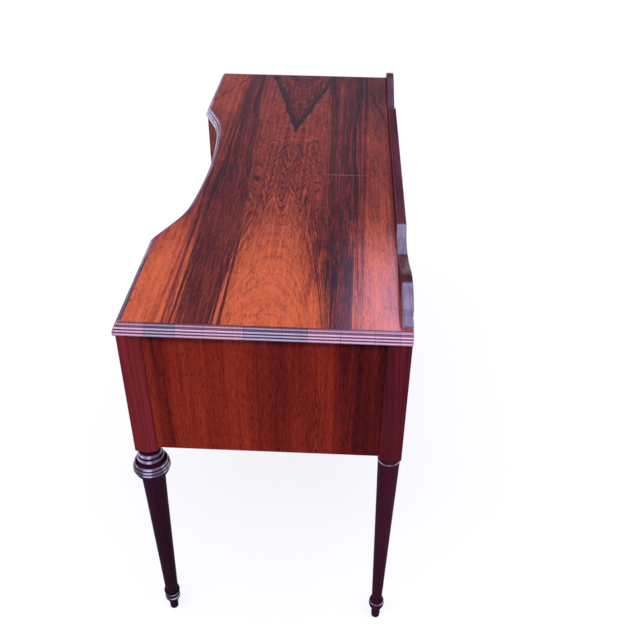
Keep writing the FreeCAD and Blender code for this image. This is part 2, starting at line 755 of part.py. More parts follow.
def make_runners():
    """Runners and side guides of the pedestal drawers, and the middle drawer's runners."""
    inner = (SIDE_INNER, f"{SIDE_INNER} + inner_runner")
    outer = (f"{PANEL_INNER} - outer_runner", PANEL_INNER)
    level = (DIVIDER, DIVIDER_TOP)
    guide = (f"{POST_INNER} + guide_clearance", PANEL_INNER)
    between_posts = (FRONT_POST_BACK, REAR_POST_FRONT)
    behind_rail = (RAIL_BACK, REAR_POST_FRONT)
    pieces = [
        board("inner_runner_piece", inner, (RAIL_BACK, BACK_INNER), level),
        board("outer_runner_piece", outer, behind_rail, level),
        board("lower_guide", guide, between_posts, (CASE_FLOOR, f"{CASE_FLOOR} + guide_height")),
        board("upper_guide", guide, behind_rail, (DIVIDER_TOP, f"{DIVIDER_TOP} + guide_height")),
    ]
    right = together("drawer_runners_right", pieces)
    centre = board(
        "centre_runner",
        (f"{SIDE_KNEE} - inner_runner", SIDE_KNEE),
        (CENTRE_RAIL_BACK, BACK_INNER),
        (CENTRE_RAIL, "centre_floor"),
    )
    both = together("centre_runners", [centre, mirrored("centre_runner_twin", centre)])
    return [right, mirrored("drawer_runners_left", right), both]


def make_kickers():
    """Strips under the top that keep the open drawers level."""
    level = (TOP_RAIL, UNDERSIDE)
    inner = (SIDE_INNER, f"{SIDE_INNER} + inner_runner")
    outer = (f"{PANEL_INNER} - outer_runner", PANEL_INNER)
    knee = (f"{SIDE_KNEE} - inner_runner", SIDE_KNEE)
    right = [
        board("inner_kicker", inner, (RAIL_BACK, BACK_INNER), level),
        board("outer_kicker", outer, (RAIL_BACK, REAR_POST_FRONT), level),
        board("centre_kicker", knee, (CENTRE_RAIL_BACK, BACK_INNER), level),
    ]
    return together("drawer_kickers", right + [mirrored(f"{piece.Name}_twin", piece) for piece in right])


def make_stops(front_space):
    """Small blocks behind the drawer fronts that the closed drawers meet."""
    middle = f"({SIDE_INNER} + {POST_INNER}) / 2"
    right = []
    for name, low in (("lower_stop", CASE_FLOOR), ("upper_stop", DIVIDER_TOP)):
        for side, sign in (("inner", "-"), ("outer", "+")):
            place = f"{middle} {sign} stop_spread"
            across = (f"{place} - stop_length / 2", f"{place} + stop_length / 2")
            along = (DRAWER_SHOULDER, f"{DRAWER_SHOULDER} + stop_depth")
            right.append(board(f"{name}_{side}", across, along, (low, f"{low} + stop_height")))
    shoulder = f"{FRONT} + recess_depth + {FACE_OFFSET} + front_thickness"
    blank = board(
        "centre_stop_blank",
        ("stop_spread", "stop_spread + stop_length"),
        (f"{shoulder} - stop_depth", f"{shoulder} + stop_depth"),
        ("centre_floor", "centre_floor + stop_height"),
    )
    right.append(cut("centre_stop", blank, [front_space]))
    return together("drawer_stops", right + [mirrored(f"{piece.Name}_twin", piece) for piece in right])


def make_blocks():
    """Rubbed glue blocks in the corner between the top and the back panels."""
    level = (f"{UNDERSIDE} - block_size", UNDERSIDE)
    along = (f"{BACK_INNER} - block_size", BACK_INNER)
    pedestal = f"({SIDE_INNER} + {POST_INNER}) / 2"
    places = ["0", "block_pitch * 2", "block_pitch * -2", f"{pedestal}", f"-{pedestal}"]
    pieces = [
        board(f"block_{index}", (f"{place} - block_length / 2", f"{place} + block_length / 2"), along, level)
        for index, place in enumerate(places)
    ]
    return together("glue_blocks", pieces)


def make_carcass(front_space):
    """Everything that stands still under the top."""
    reach = (f"{CENTRE_RAIL} - {OVERRUN}", f"{UNDERSIDE} + {OVERRUN}")
    space = recess_space("rail_recess", "front_overhang", SIZES["front_overhang"], *reach)
    end_panel = make_end_panel()
    back_panel = make_back_panel()
    rails, tenons = make_rails(space)
    bottom = make_pedestal_bottom()
    side_blank = board(
        "side_blank", (SIDE_KNEE, SIDE_INNER), (CASE_FRONT, BACK_INNER), ("case_bottom", UNDERSIDE)
    )
    side = cut("pedestal_side_right", side_blank, [bottom] + list(rails.values()))
    centre_back = board(
        "back_panel_centre", (f"-{SIDE_KNEE}", SIDE_KNEE), (BACK_INNER, BACK_OUTER), (CENTRE_RAIL, UNDERSIDE)
    )
    pieces = make_legs(tenons, end_panel, back_panel)
    for piece in (end_panel, back_panel, side, bottom, rails["top_rail"], rails["divider_rail"]):
        pieces += [piece, mirrored(piece.Name.replace("_right", "_left"), piece)]
    pieces += [centre_back, rails["centre_top_rail"], rails["centre_bottom_rail"]]
    pieces += make_runners()
    return pieces + [make_kickers(), make_stops(front_space), make_blocks()]


# --- Drawers ------------------------------------------------------------------------------------------

TAIL_COUNT = 3


def dovetails(name, across, wide_end, narrow_end, low, height):
    """Tails on one drawer side, wide where they end in the front's lap."""
    pitch = f"({height}) / {TAIL_COUNT}"
    tails = []
    for index in range(TAIL_COUNT):
        tail = DOCUMENT.addObject("Part::Wedge", f"{name}_tail_{index}")
        middle = f"({low}) + {pitch} * {index + 0.5}"
        bind(tail, "Xmin", "0")
        bind(tail, "Xmax", "lining")
        bind(tail, "X2min", "0")
        bind(tail, "X2max", "lining")
        bind(tail, "Ymin", "0")
        bind(tail, "Ymax", f"({narrow_end}) - ({wide_end})")
        bind(tail, "Zmin", "-tail_wide / 2")
        bind(tail, "Zmax", "tail_wide / 2")
        bind(tail, "Z2min", "-tail_narrow / 2")
        bind(tail, "Z2max", "tail_narrow / 2")
        for axis, formula in zip("xyz", (across, wide_end, middle)):
            bind(tail, f"Placement.Base.{axis}", formula)
        tails.append(tail)
    return tails


def make_knob(name, across, along, up, turn_degrees):
    """A turned brass knob with a spigot, its axis towards the sitter and turned about the upright."""
    turn = FreeCAD.Rotation(Vector(0, 0, 1), turn_degrees) * FreeCAD.Rotation(Vector(1, 0, 0), 90)
    body = new_body(name, across, along, up, turn)
    revolve(body, f"{name}_turning", "Revolution", outline_sketch(body, f"{name}_outline", "knob"))
    return body


def make_lock(name, across, face, top):
    """A box lock for the back of a drawer front, and the keyhole that leads to it from the face."""
    back = f"{face} + front_thickness"
    case = board(
        name,
        (f"{across} - lock_width / 2", f"{across} + lock_width / 2"),
        (f"{back} - lock_thickness", back),
        (f"{top} - lock_height", top),
    )
    middle = f"({top} - lock_height / 2)"
    keyhole = board(
        f"{name}_keyhole",
        (f"{across} - keyhole_width / 2", f"{across} + keyhole_width / 2"),
        (f"{face} - {OVERRUN}", back),
        (f"{middle} - keyhole_height / 2", f"{middle} + keyhole_height / 2"),
    )
    return case, keyhole


def spigot_hole(knob):
    """The hole that a knob's spigot stands in, a shade wider than the spigot."""
    hole = DOCUMENT.addObject("Part::Cylinder", f"{knob.Name}_hole")
    hole.Placement = knob.Placement
    bind(hole, "Radius", "knob_spigot_across + spigot_clearance")
    bind(hole, "Height", f"knob_seat + {OVERRUN}")
    for axis in "xyz":
        bind(hole, f"Placement.Base.{axis}", f"{knob.Name}.Placement.Base.{axis}")
    return hole


class DrawerSpace:
    """Where one drawer goes: its opening, the places along Y of its parts, and its front's cutters."""

    def __init__(self, name, across, up, front, tails, side_start, cutters):
        """Keep the drawer's places: pairs of formulas across and up, the front's blank and its tails."""
        self.name = name
        self.left, self.right = across
        self.low, self.high = up
        self.front = front
        self.tails = tails
        self.side_start = side_start
        self.cutters = cutters

    def shaped(self, name, blank, offset):
        """A piece trimmed to the curve of the drawer's front, or left as it is behind a flat one."""
        return cut(name, blank, [self.cutters[offset]]) if self.cutters else blank


def make_drawer(space, fittings):
    """One drawer: dovetailed sides, housed back, grooved bottom, and the front cut to take its fittings."""
    name = space.name
    outer_left = f"({space.left} + drawer_gap)"
    outer_right = f"({space.right} - drawer_gap)"
    side_low = f"({space.low} + drawer_gap)"
    side_high = f"({space.high} - side_drop)"
    inner_left = f"({outer_left} + lining)"
    inner_right = f"({outer_right} - lining)"
    sheet_low = f"({space.low} + panel_lift)"
    sheet_high = f"({sheet_low} + panel_sheet)"
    back_end = f"({DRAWER_END} - back_inset)"
    sheet_blank = board(
        f"{name}_sheet",
        (f"{inner_left} - panel_groove", f"{inner_right} + panel_groove"),
        (f"{space.side_start} - panel_groove", DRAWER_END),
        (sheet_low, sheet_high),
    )
    sheet = space.shaped(f"{name}_sheet_shaped", sheet_blank, "groove")
    back = board(
        f"{name}_back",
        (f"{inner_left} - lining_dado", f"{inner_right} + lining_dado"),
        (f"{back_end} - lining", back_end),
        (sheet_high, f"{space.high} - back_drop"),
    )
    sides = []
    all_tails = []
    for word, start in (("left", outer_left), ("right", inner_right)):
        part = f"{name}_{word}_side"
        along = (space.side_start, DRAWER_END)
        blank = board(f"{part}_board", (start, f"{start} + lining"), along, (side_low, side_high))
        blank = space.shaped(f"{part}_shaped", blank, "shoulder")
        tails = dovetails(part, start, *space.tails, side_low, f"{side_high} - {side_low}")
        tails = [space.shaped(f"{tail.Name}_shaped", tail, "lap") for tail in tails]
        all_tails += tails
        sides.append(cut(f"{part}_grooved", joined(f"{part}_tailed", [blank] + tails), [sheet, back]))
    return {
        f"drawer_front_{name}": cut(f"{name}_front", space.front, all_tails + [sheet] + fittings),
        f"drawer_sides_{name}": together(f"{name}_sides", sides),
        f"drawer_back_{name}": back,
        f"drawer_bottom_{name}": sheet,
    }


def pedestal_drawer(name, low, locked):
    """A drawer of the right pedestal, flat in front."""
    high = f"({low} + {OPENING_HEIGHT})"
    middle = f"(({SIDE_INNER} + {POST_INNER}) / 2)"
    height = f"(({low} + {high}) / 2)"
    front = board(
        f"{name}_front_blank",
        (f"{SIDE_INNER} + drawer_gap", f"{POST_INNER} - drawer_gap"),
        (DRAWER_FACE, DRAWER_SHOULDER),
        (f"{low} + drawer_gap", f"{high} - drawer_gap"),
    )
    tails = (f"({DRAWER_FACE} + front_lap)", DRAWER_SHOULDER)
    space = DrawerSpace(name, (SIDE_INNER, POST_INNER), (low, high), front, tails, DRAWER_SHOULDER, None)
    knob = make_knob(f"{name}_knob", middle, f"{DRAWER_FACE} + knob_seat", height, 0)
    fittings = [spigot_hole(knob)]
    extras = {f"drawer_knob_{name}": knob}
    if locked:
        lock, keyhole = make_lock(f"{name}_lock", middle, DRAWER_FACE, f"({high} - drawer_gap)")
        fittings += [lock, keyhole]
        extras[f"drawer_lock_{name}"] = lock
    return {**make_drawer(space, fittings), **extras}


def centre_drawer(shoulder_space):
    """The drawer over the knees, whose front follows the recess."""
    name = "centre"
    low, high = "centre_floor", TOP_RAIL
    groove = f"({FACE_OFFSET} + front_thickness - panel_groove)"
    groove_size = FACE_SIZE + SIZES["front_thickness"] - SIZES["panel_groove"]
    lap = f"({FACE_OFFSET} + front_lap)"
    cutters = {
        "shoulder": shoulder_space,
        "groove": recess_space("groove_space", groove, groove_size, *CENTRE_REACH),
        "lap": recess_space("lap_space", lap, FACE_SIZE + SIZES["front_lap"], *CENTRE_REACH),
    }
    face_space = recess_space("face_space", FACE_OFFSET, FACE_SIZE, *CENTRE_REACH)
    block = board(
        "centre_front_block",
        (f"-{SIDE_KNEE} + drawer_gap", f"{SIDE_KNEE} - drawer_gap"),
        (FRONT, CENTRE_RAIL_BACK),
        (f"{low} + drawer_gap", f"{high} - drawer_gap"),
    )
    front = DOCUMENT.addObject("Part::Common", "centre_front_blank")
    front.Base = cut("centre_front_back", block, [face_space])
    front.Tool = shoulder_space
    side_start = f"({FRONT} + {FACE_OFFSET} + front_thickness)"
    tails = (f"({FRONT} + {FACE_OFFSET} + front_lap)", f"({side_start} + lining)")
    space = DrawerSpace(name, (f"-{SIDE_KNEE}", SIDE_KNEE), (low, high), front, tails, side_start, cutters)
    swing = f"(recess_middle + {FACE_OFFSET} + knob_seat - knob_rise)"
    angle = "(wide_knob_angle * 1deg)"
    right = make_knob(
        "centre_knob",
        f"{swing} * sin({angle})",
        f"{FRONT} + recess_depth - recess_middle + {swing} * cos({angle})",
        f"({low} + {high}) / 2",
        -SIZES["wide_knob_angle"],
    )
    hole = spigot_hole(right)
    face = f"({FRONT} + recess_depth + {FACE_OFFSET})"
    lock, keyhole = make_lock("centre_lock", "0", face, f"({high} - drawer_gap)")
    pieces = make_drawer(space, [hole, mirrored("centre_hole_twin", hole), lock, keyhole])
    pieces["drawer_knobs_centre"] = together("centre_knobs", [right, mirrored("centre_knob_twin", right)])
    pieces["drawer_lock_centre"] = lock
    return pieces


def make_drawers(shoulder_space):
    """The middle drawer and the four pedestal drawers."""
    pieces = centre_drawer(shoulder_space)
    for name, low, locked in (("upper_right", DIVIDER_TOP, True), ("lower_right", CASE_FLOOR, False)):
        right = pedestal_drawer(name, low, locked)
        pieces.update(right)
        for label, piece in right.items():
            pieces[label.replace("right", "left")] = mirrored(f"{piece.Name}_twin", piece)
    return pieces


# --- Build, check and write ---------------------------------------------------------------------------


def check(nodes):
    """Stop if any object failed to build or any sub-part is empty or unsound."""
    for item in DOCUMENT.Objects:
        if "Invalid" in item.State or "Error" in item.State:
            raise RuntimeError(f"{item.Name} failed: {item.State}")
    for label, piece in nodes.items():
        if piece.Shape.isNull() or not piece.Shape.isValid() or not piece.Shape.Solids:
            raise RuntimeError(f"{label} has no sound solid")


def main():
    """Build every sub-part, check it and write one STEP file for each."""
    shoulder = f"({FACE_OFFSET} + front_thickness)"
    shoulder_size = FACE_SIZE + SIZES["front_thickness"]
    shoulder_space = recess_space("shoulder_space", shoulder, shoulder_size, *CENTRE_REACH)
    fixed = [make_top(), make_gallery()] + make_edges() + make_carcass(shoulder_space)
    nodes = {piece.Name: piece for piece in fixed}
    nodes.update(make_drawers(shoulder_space))
    DOCUMENT.recompute()
    check(nodes)
    os.makedirs("parts", exist_ok=True)
    for label, piece in nodes.items():
        piece.Label = label
        piece.Shape.exportStep(os.path.join("parts", f"{label}.step"))
    print(f"{len(nodes)} sub-parts")


main()
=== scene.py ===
"""Visual model of a rosewood kneehole writing desk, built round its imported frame.

The desk has a veneered top with a reeded edge whose front sweeps inwards over the knees, a low shaped
gallery along the back, four turned legs, and five drawers with brass knobs.  All lengths are in metres.
+X is the sitter's right, +Y runs from the front to the back and +Z is up.
"""

from __future__ import annotations

import logging
import math
from dataclasses import dataclass, field
from enum import Enum
from typing import Iterable, Sequence

import bmesh
import bpy
from mathutils import Matrix, Vector

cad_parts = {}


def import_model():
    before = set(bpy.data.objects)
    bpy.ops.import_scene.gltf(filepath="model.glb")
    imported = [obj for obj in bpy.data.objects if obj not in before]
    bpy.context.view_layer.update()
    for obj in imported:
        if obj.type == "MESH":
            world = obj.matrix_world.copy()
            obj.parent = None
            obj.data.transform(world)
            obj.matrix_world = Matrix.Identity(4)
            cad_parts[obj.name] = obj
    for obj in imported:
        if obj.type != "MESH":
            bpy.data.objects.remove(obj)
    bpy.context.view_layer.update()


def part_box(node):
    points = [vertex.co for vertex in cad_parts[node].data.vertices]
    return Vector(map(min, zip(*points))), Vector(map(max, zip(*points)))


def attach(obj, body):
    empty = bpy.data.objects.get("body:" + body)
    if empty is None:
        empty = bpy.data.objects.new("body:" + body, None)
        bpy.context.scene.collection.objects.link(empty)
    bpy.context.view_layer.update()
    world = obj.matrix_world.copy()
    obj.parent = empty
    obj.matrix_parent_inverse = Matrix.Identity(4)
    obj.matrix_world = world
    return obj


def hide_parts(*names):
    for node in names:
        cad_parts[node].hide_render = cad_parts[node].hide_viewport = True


LOG = logging.getLogger("desk")
MM = 0.001
UP = Vector((0.0, 0.0, 1.0))
ARC_STEP = math.radians(9.0)
WELD = 1e-6
SIDES = {"right": 1, "left": -1}

# --- Outlines -----------------------------------------------------------------------------------------


@dataclass(frozen=True)
class Station:
    """A corner of an outline in millimetres, and the radius of the arc that reaches it.

    The arc swells to the right of the way travelled where curve is positive, and is hollow where it is
    negative.  A curve of 0 is a straight line.
    """

    across: float
    up: float
    curve: float = 0.0


def outline(*corners: tuple[float, ...]) -> tuple[Station, ...]:
    """The stations of an outline, from the numbers of each."""
    return tuple(Station(*corner) for corner in corners)


FRONT_LEG = outline(
    (0.0, 0.0), (6.6, 0.0), (8.4, 1.8, 2.4), (9.2, 27.4), (10.4, 27.5), (10.8, 28.3, 0.7),
    (14.2, 45.0, 14.0), (13.7, 46.2), (13.9, 49.6, 2.1), (14.6, 50.6), (13.2, 64.5, 13.4),
    (12.9, 67.0, -6.0), (19.8, 345.0), (22.0, 411.0), (23.1, 412.2, -1.8), (23.8, 413.0),
    (31.7, 424.0, 11.0), (32.0, 432.0, 4.8), (30.1, 438.8, 4.0), (26.4, 445.4, 4.4), (24.2, 446.0),
    (23.1, 451.4, -3.8), (20.9, 459.0, 4.3), (19.8, 460.3), (19.4, 468.3, 4.6), (17.2, 469.3),
    (17.3, 474.8, -4.6), (17.6, 478.9, 2.4), (17.6, 484.0), (0.0, 484.0),
)

REAR_LEG = outline(
    (0.0, 0.0), (6.9, 0.0), (8.5, 1.8, 2.4), (9.6, 28.9), (10.3, 29.0), (10.8, 29.8, 0.7),
    (13.3, 57.0, 28.0), (12.6, 58.0, -1.0), (10.6, 72.0, -24.0), (19.8, 466.6), (18.0, 473.6, 5.2),
    (18.0, 484.0), (0.0, 484.0),
)

# The heights, in metres, between which the legs' ledges are fully polished and carry a painted pale highlight.
FRONT_LEDGES = (
    (0.0399, 0.0434), (0.0512, 0.0545), (0.4290, 0.4318), (0.4355, 0.4382), (0.4408, 0.4448),
    (0.4535, 0.4585), (0.4635, 0.4685),
)
REAR_LEDGES = ((0.0507, 0.0540), (0.4690, 0.4719))

POMMEL = outline(
    (0.0, 478.6), (19.2, 478.6), (28.3, 482.6, -9.0), (28.3, 742.0), (0.0, 742.0),
)

KNOB = outline(
    (0.0, 0.0), (8.3, 0.0), (8.3, 0.8), (6.6, 2.2, -1.8), (4.6, 2.6), (3.5, 3.8, -1.4),
    (3.7, 8.0, -14.0), (4.6, 9.0, 0.9), (4.9, 10.2, -1.4), (8.4, 14.2, 5.0), (7.6, 17.2, 2.2),
    (6.7, 17.7, -1.0), (0.0, 19.9, 12.0),
)

EDGE = outline(
    (0.0, 0.0), (11.9, 0.0), (12.1, 5.6, 3.0), (11.2, 6.1), (9.9, 10.2, 2.25), (7.3, 15.1, 3.0),
    (5.9, 16.1, -1.4), (3.6, 19.1, 2.1), (3.1, 19.3), (0.0, 19.3),
)

GALLERY = outline(
    (0.0, 0.0), (584.0, 0.0), (584.0, 4.6), (582.5, 6.1, 1.5), (565.0, 7.8), (562.3, 10.0, -2.4),
    (559.0, 20.0), (557.0, 22.0, 2.8), (507.0, 37.0, 92.0), (444.0, 25.0, 171.0),
    (327.0, 4.0, -336.0), (308.0, 14.5, -22.5), (289.0, 25.0, 22.5), (0.0, 25.0),
)


class Pen:
    """Draws a wire of lines and arcs in a bmesh, in the XY plane and in metres."""

    def __init__(self, mesh: bmesh.types.BMesh, start: Vector) -> None:
        """Put the pen down.

        Args:
            mesh: the bmesh to draw in.
            start: the first point.
        """
        self.mesh = mesh
        self.first = mesh.verts.new(start)
        self.tip = self.first

    def line(self, point: Vector) -> None:
        """Draw a straight stretch to a point.

        Args:
            point: where the stretch ends.
        """
        made = bmesh.ops.extrude_vert_indiv(self.mesh, verts=[self.tip])
        self.tip = made["verts"][0]
        self.tip.co = point

    def arc(self, centre: Vector, angle: float) -> None:
        """Draw an arc about a centre, anticlockwise where the angle is positive.

        Args:
            centre: the arc's centre.
            angle: the angle turned, in radians.
        """
        steps = max(2, math.ceil(abs(angle) / ARC_STEP))
        spun = bmesh.ops.spin(
            self.mesh, geom=[self.tip], cent=centre, axis=UP, dvec=Vector(), angle=angle, steps=steps,
            use_merge=False, use_duplicate=False,
        )
        self.tip = next(item for item in spun["geom_last"] if isinstance(item, bmesh.types.BMVert))

    def swell(self, point: Vector, radius: float) -> None:
        """Draw the short arc of a signed radius to a point, as Station.curve says.

        Args:
            point: where the arc ends.
            radius: its radius, with the sign of Station.curve.
        """
        start = self.tip.co.copy()
        chord = point - start
        left = Vector((-chord.y, chord.x, 0.0)).normalized()
        rise = math.sqrt(radius * radius - chord.length_squared / 4.0)
        centre = (start + point) / 2.0 + left * math.copysign(rise, radius)
        angle = 2.0 * math.asin(chord.length / 2.0 / abs(radius))
        self.arc(centre, math.copysign(angle, radius))
        self.tip.co = point

    def follow(self, stations: Iterable[Station]) -> None:
        """Draw through the stations of an outline.

        Args:
            stations: the outline's corners.
        """
        for station in stations:
            point = Vector((station.across, station.up, 0.0)) * MM
            if station.curve:
                self.swell(point, station.curve * MM)
            else:
                self.line(point)

    def close(self) -> None:
        """Join the last point to the first."""
        self.mesh.edges.new((self.tip, self.first))


def drawn(stations: Sequence[Station], closed: bool) -> bmesh.types.BMesh:
    """A bmesh that holds one outline as a wire.

    Args:
        stations: the outline's corners.
        closed: whether the last corner joins the first.

    Returns:
        The new bmesh.
    """
    mesh = bmesh.new()
    pen = Pen(mesh, Vector((stations[0].across, stations[0].up, 0.0)) * MM)
    pen.follow(stations[1:])
    if closed:
        pen.close()
    return mesh


def turned(stations: Sequence[Station], around: int) -> bmesh.types.BMesh:
    """A closed solid turned about the Z axis from an outline of radius and height.

    Args:
        stations: the outline, which starts and ends on the axis.
        around: how many facets go round.

    Returns:
        The new bmesh.
    """
    mesh = drawn(stations, False)
    mesh.transform(Matrix.Rotation(math.pi / 2.0, 4, "X"))
    geometry = mesh.verts[:] + mesh.edges[:]
    bmesh.ops.spin(
        mesh, geom=geometry, cent=Vector(), axis=UP, dvec=Vector(), angle=2.0 * math.pi, steps=around,
        use_merge=True, use_duplicate=False,
    )
    bmesh.ops.remove_doubles(mesh, verts=mesh.verts[:], dist=WELD)
    bmesh.ops.recalc_face_normals(mesh, faces=mesh.faces[:])
    return mesh


def loop_of(geometry: Iterable[object]) -> list[object]:
    """The vertices and edges among a bmesh operator's results."""
    return [item for item in geometry if isinstance(item, (bmesh.types.BMVert, bmesh.types.BMEdge))]


def cap_and_turn(mesh: bmesh.types.BMesh) -> None:
    """Close the open ends of a tube and point every face outwards.

    Args:
        mesh: the tube.
    """
    open_edges = [edge for edge in mesh.edges if len(edge.link_faces) == 1]
    bmesh.ops.holes_fill(mesh, edges=open_edges, sides=0)
    bmesh.ops.recalc_face_normals(mesh, faces=mesh.faces[:])


def cut_away(mesh: bmesh.types.BMesh, point: Vector, outward: Vector) -> None:
    """Remove what lies beyond a plane on its outward side.

    Args:
        mesh: the bmesh to cut.
        point: a point of the plane.
        outward: the plane's normal, towards what is removed.
    """
    geometry = mesh.verts[:] + mesh.edges[:] + mesh.faces[:]
    bmesh.ops.bisect_plane(
        mesh, geom=geometry, dist=WELD, plane_co=point, plane_no=outward, clear_outer=True, clear_inner=False
    )


# --- From bmesh to dressed piece ----------------------------------------------------------------------


@dataclass(frozen=True)
class Dress:
    """How a finished piece is shown: its material, its body and what it stands for."""

    finish: bpy.types.Material
    body: str
    slot: str
    replaces: tuple[str, ...] = ()


SMOOTH = math.radians(32.0)


def piece(name: str, mesh: bmesh.types.BMesh, dress: Dress, smooth: float = SMOOTH) -> bpy.types.Object:
    """Turn a bmesh into a dressed object that rides on its body.

    Args:
        name: the piece's name.
        mesh: its bmesh, which is freed.
        dress: its material, body, slot and replaced nodes.
        smooth: the angle past which an edge stays sharp, in radians.

    Returns:
        The new object.
    """
    data = bpy.data.meshes.new(name)
    mesh.to_mesh(data)
    mesh.free()
    data.polygons.foreach_set("use_smooth", [True] * len(data.polygons))
    data.set_sharp_from_angle(angle=smooth)
    thing = bpy.data.objects.new(name, data)
    bpy.context.scene.collection.objects.link(thing)
    data.materials.append(dress.finish)
    even = thing.modifiers.new("even_normals", "WEIGHTED_NORMAL")
    even.keep_sharp = True
    if dress.replaces:
        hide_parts(*dress.replaces)
    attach(thing, dress.body)
    LOG.info("%s: %d faces on %s", name, len(data.polygons), dress.body)
    return thing


def boolean(base: bmesh.types.BMesh, tool: bmesh.types.BMesh, operation: str) -> bmesh.types.BMesh:
    """Join, cut or intersect two closed bmeshes.

    Args:
        base: the first solid, which is freed.
        tool: the second solid, which is freed.
        operation: UNION, DIFFERENCE or INTERSECT.

    Returns:
        A new bmesh of the result.
    """
    things = []
    for source in (base, tool):
        data = bpy.data.meshes.new("scratch")
        source.to_mesh(data)
        source.free()
        thing = bpy.data.objects.new("scratch", data)
        bpy.context.scene.collection.objects.link(thing)
        things.append(thing)
    modifier = things[0].modifiers.new("join", "BOOLEAN")
    modifier.operation = operation
    modifier.solver = "EXACT"
    modifier.object = things[1]
    evaluated = things[0].evaluated_get(bpy.context.evaluated_depsgraph_get())
    result = bmesh.new()
    result.from_mesh(evaluated.to_mesh())
    evaluated.to_mesh_clear()
    for thing in things:
        data = thing.data
        bpy.data.objects.remove(thing)
        bpy.data.meshes.remove(data)
    return result


def block(low: Sequence[float], high: Sequence[float]) -> bmesh.types.BMesh:
    """A box between two corners.

    Args:
        low: the lowest corner.
        high: the highest corner.

    Returns:
        The new bmesh.
    """
    mesh = bmesh.new()
    bmesh.ops.create_cube(mesh, size=1.0)
    size = [top - bottom for bottom, top in zip(low, high)]
    middle = [(top + bottom) / 2.0 for bottom, top in zip(low, high)]
    mesh.transform(Matrix.Translation(middle) @ Matrix.Diagonal((*size, 1.0)))
    return mesh


def round_edges(
    mesh: bmesh.types.BMesh, edges: list[bmesh.types.BMEdge], width: float, segments: int
) -> None:
    """Round some edges of a bmesh.

    Args:
        mesh: the bmesh that holds them.
        edges: the edges.
        width: the rounding's radius.
        segments: how many flats it has.
    """
    bmesh.ops.bevel(
        mesh, geom=edges, offset=width, offset_type="OFFSET", segments=segments, profile=0.5, affect="EDGES",
        clamp_overlap=True, material=-1,
    )


def merged(into: bmesh.types.BMesh, other: bmesh.types.BMesh) -> bmesh.types.BMesh:
    """Add a second bmesh to a first one, and free the second.

    Args:
        into: the first bmesh.
        other: the second one.

    Returns:
        The first bmesh.
    """
    data = bpy.data.meshes.new("scratch")
    other.to_mesh(data)
    other.free()
    into.from_mesh(data)
    bpy.data.meshes.remove(data)
    return into


def eased_copy(
    name: str, nodes: Sequence[str], dress: Dress, width: float = 0.0004, angle: float = 30.0
) -> bpy.types.Object:
    """A copy of CAD nodes with their facets merged and their arrises eased.

    Args:
        name: the new piece's name.
        nodes: the nodes it copies and stands for.
        dress: its material, body and slot.
        width: how wide the eased arris is.
        angle: the least angle of an edge that is eased, in degrees.

    Returns:
        The new object.
    """
    mesh = bmesh.new()
    for node in nodes:
        mesh.from_mesh(bpy.data.objects[node].data)
    bmesh.ops.remove_doubles(mesh, verts=mesh.verts[:], dist=1e-5)
    bmesh.ops.dissolve_limit(
        mesh, angle_limit=math.radians(0.3), use_dissolve_boundaries=False, verts=mesh.verts[:],
        edges=mesh.edges[:], delimit=set(),
    )
    thing = piece(name, mesh, Dress(dress.finish, dress.body, dress.slot, tuple(nodes)), math.radians(angle))
    bevel = thing.modifiers.new("eased", "BEVEL")
    bevel.width = width
    bevel.segments = 2
    bevel.limit_method = "ANGLE"
    bevel.angle_limit = math.radians(angle)
    bevel.harden_normals = True
    return thing


# --- Materials ----------------------------------------------------------------------------------------

Colour = tuple[float, float, float]


class Signal:
    """What a socket gives out, and sums and products of it, which add nodes to its tree."""

    def __init__(self, graph: Graph, socket: bpy.types.NodeSocket) -> None:
        """Keep the graph and the socket."""
        self.graph = graph
        self.socket = socket

    def __add__(self, other: Value) -> Signal:
        """This plus another."""
        return self.graph.math("ADD", self, other)

    def __radd__(self, other: Value) -> Signal:
        """Another plus this."""
        return self.graph.math("ADD", other, self)

    def __sub__(self, other: Value) -> Signal:
        """This less another."""
        return self.graph.math("SUBTRACT", self, other)

    def __rsub__(self, other: Value) -> Signal:
        """Another less this."""
        return self.graph.math("SUBTRACT", other, self)

    def __neg__(self) -> Signal:
        """This with its sign changed."""
        return self.graph.math("MULTIPLY", self, -1.0)

    def __mul__(self, other: Value) -> Signal:
        """This times another."""
        return self.graph.math("MULTIPLY", self, other)

    def __truediv__(self, other: Value) -> Signal:
        """This divided by another."""
        return self.graph.math("DIVIDE", self, other)


Value = float | Signal


class Axis(Enum):
    """An axis of the desk that grain runs along or across."""

    X = 0
    Y = 1
    Z = 2


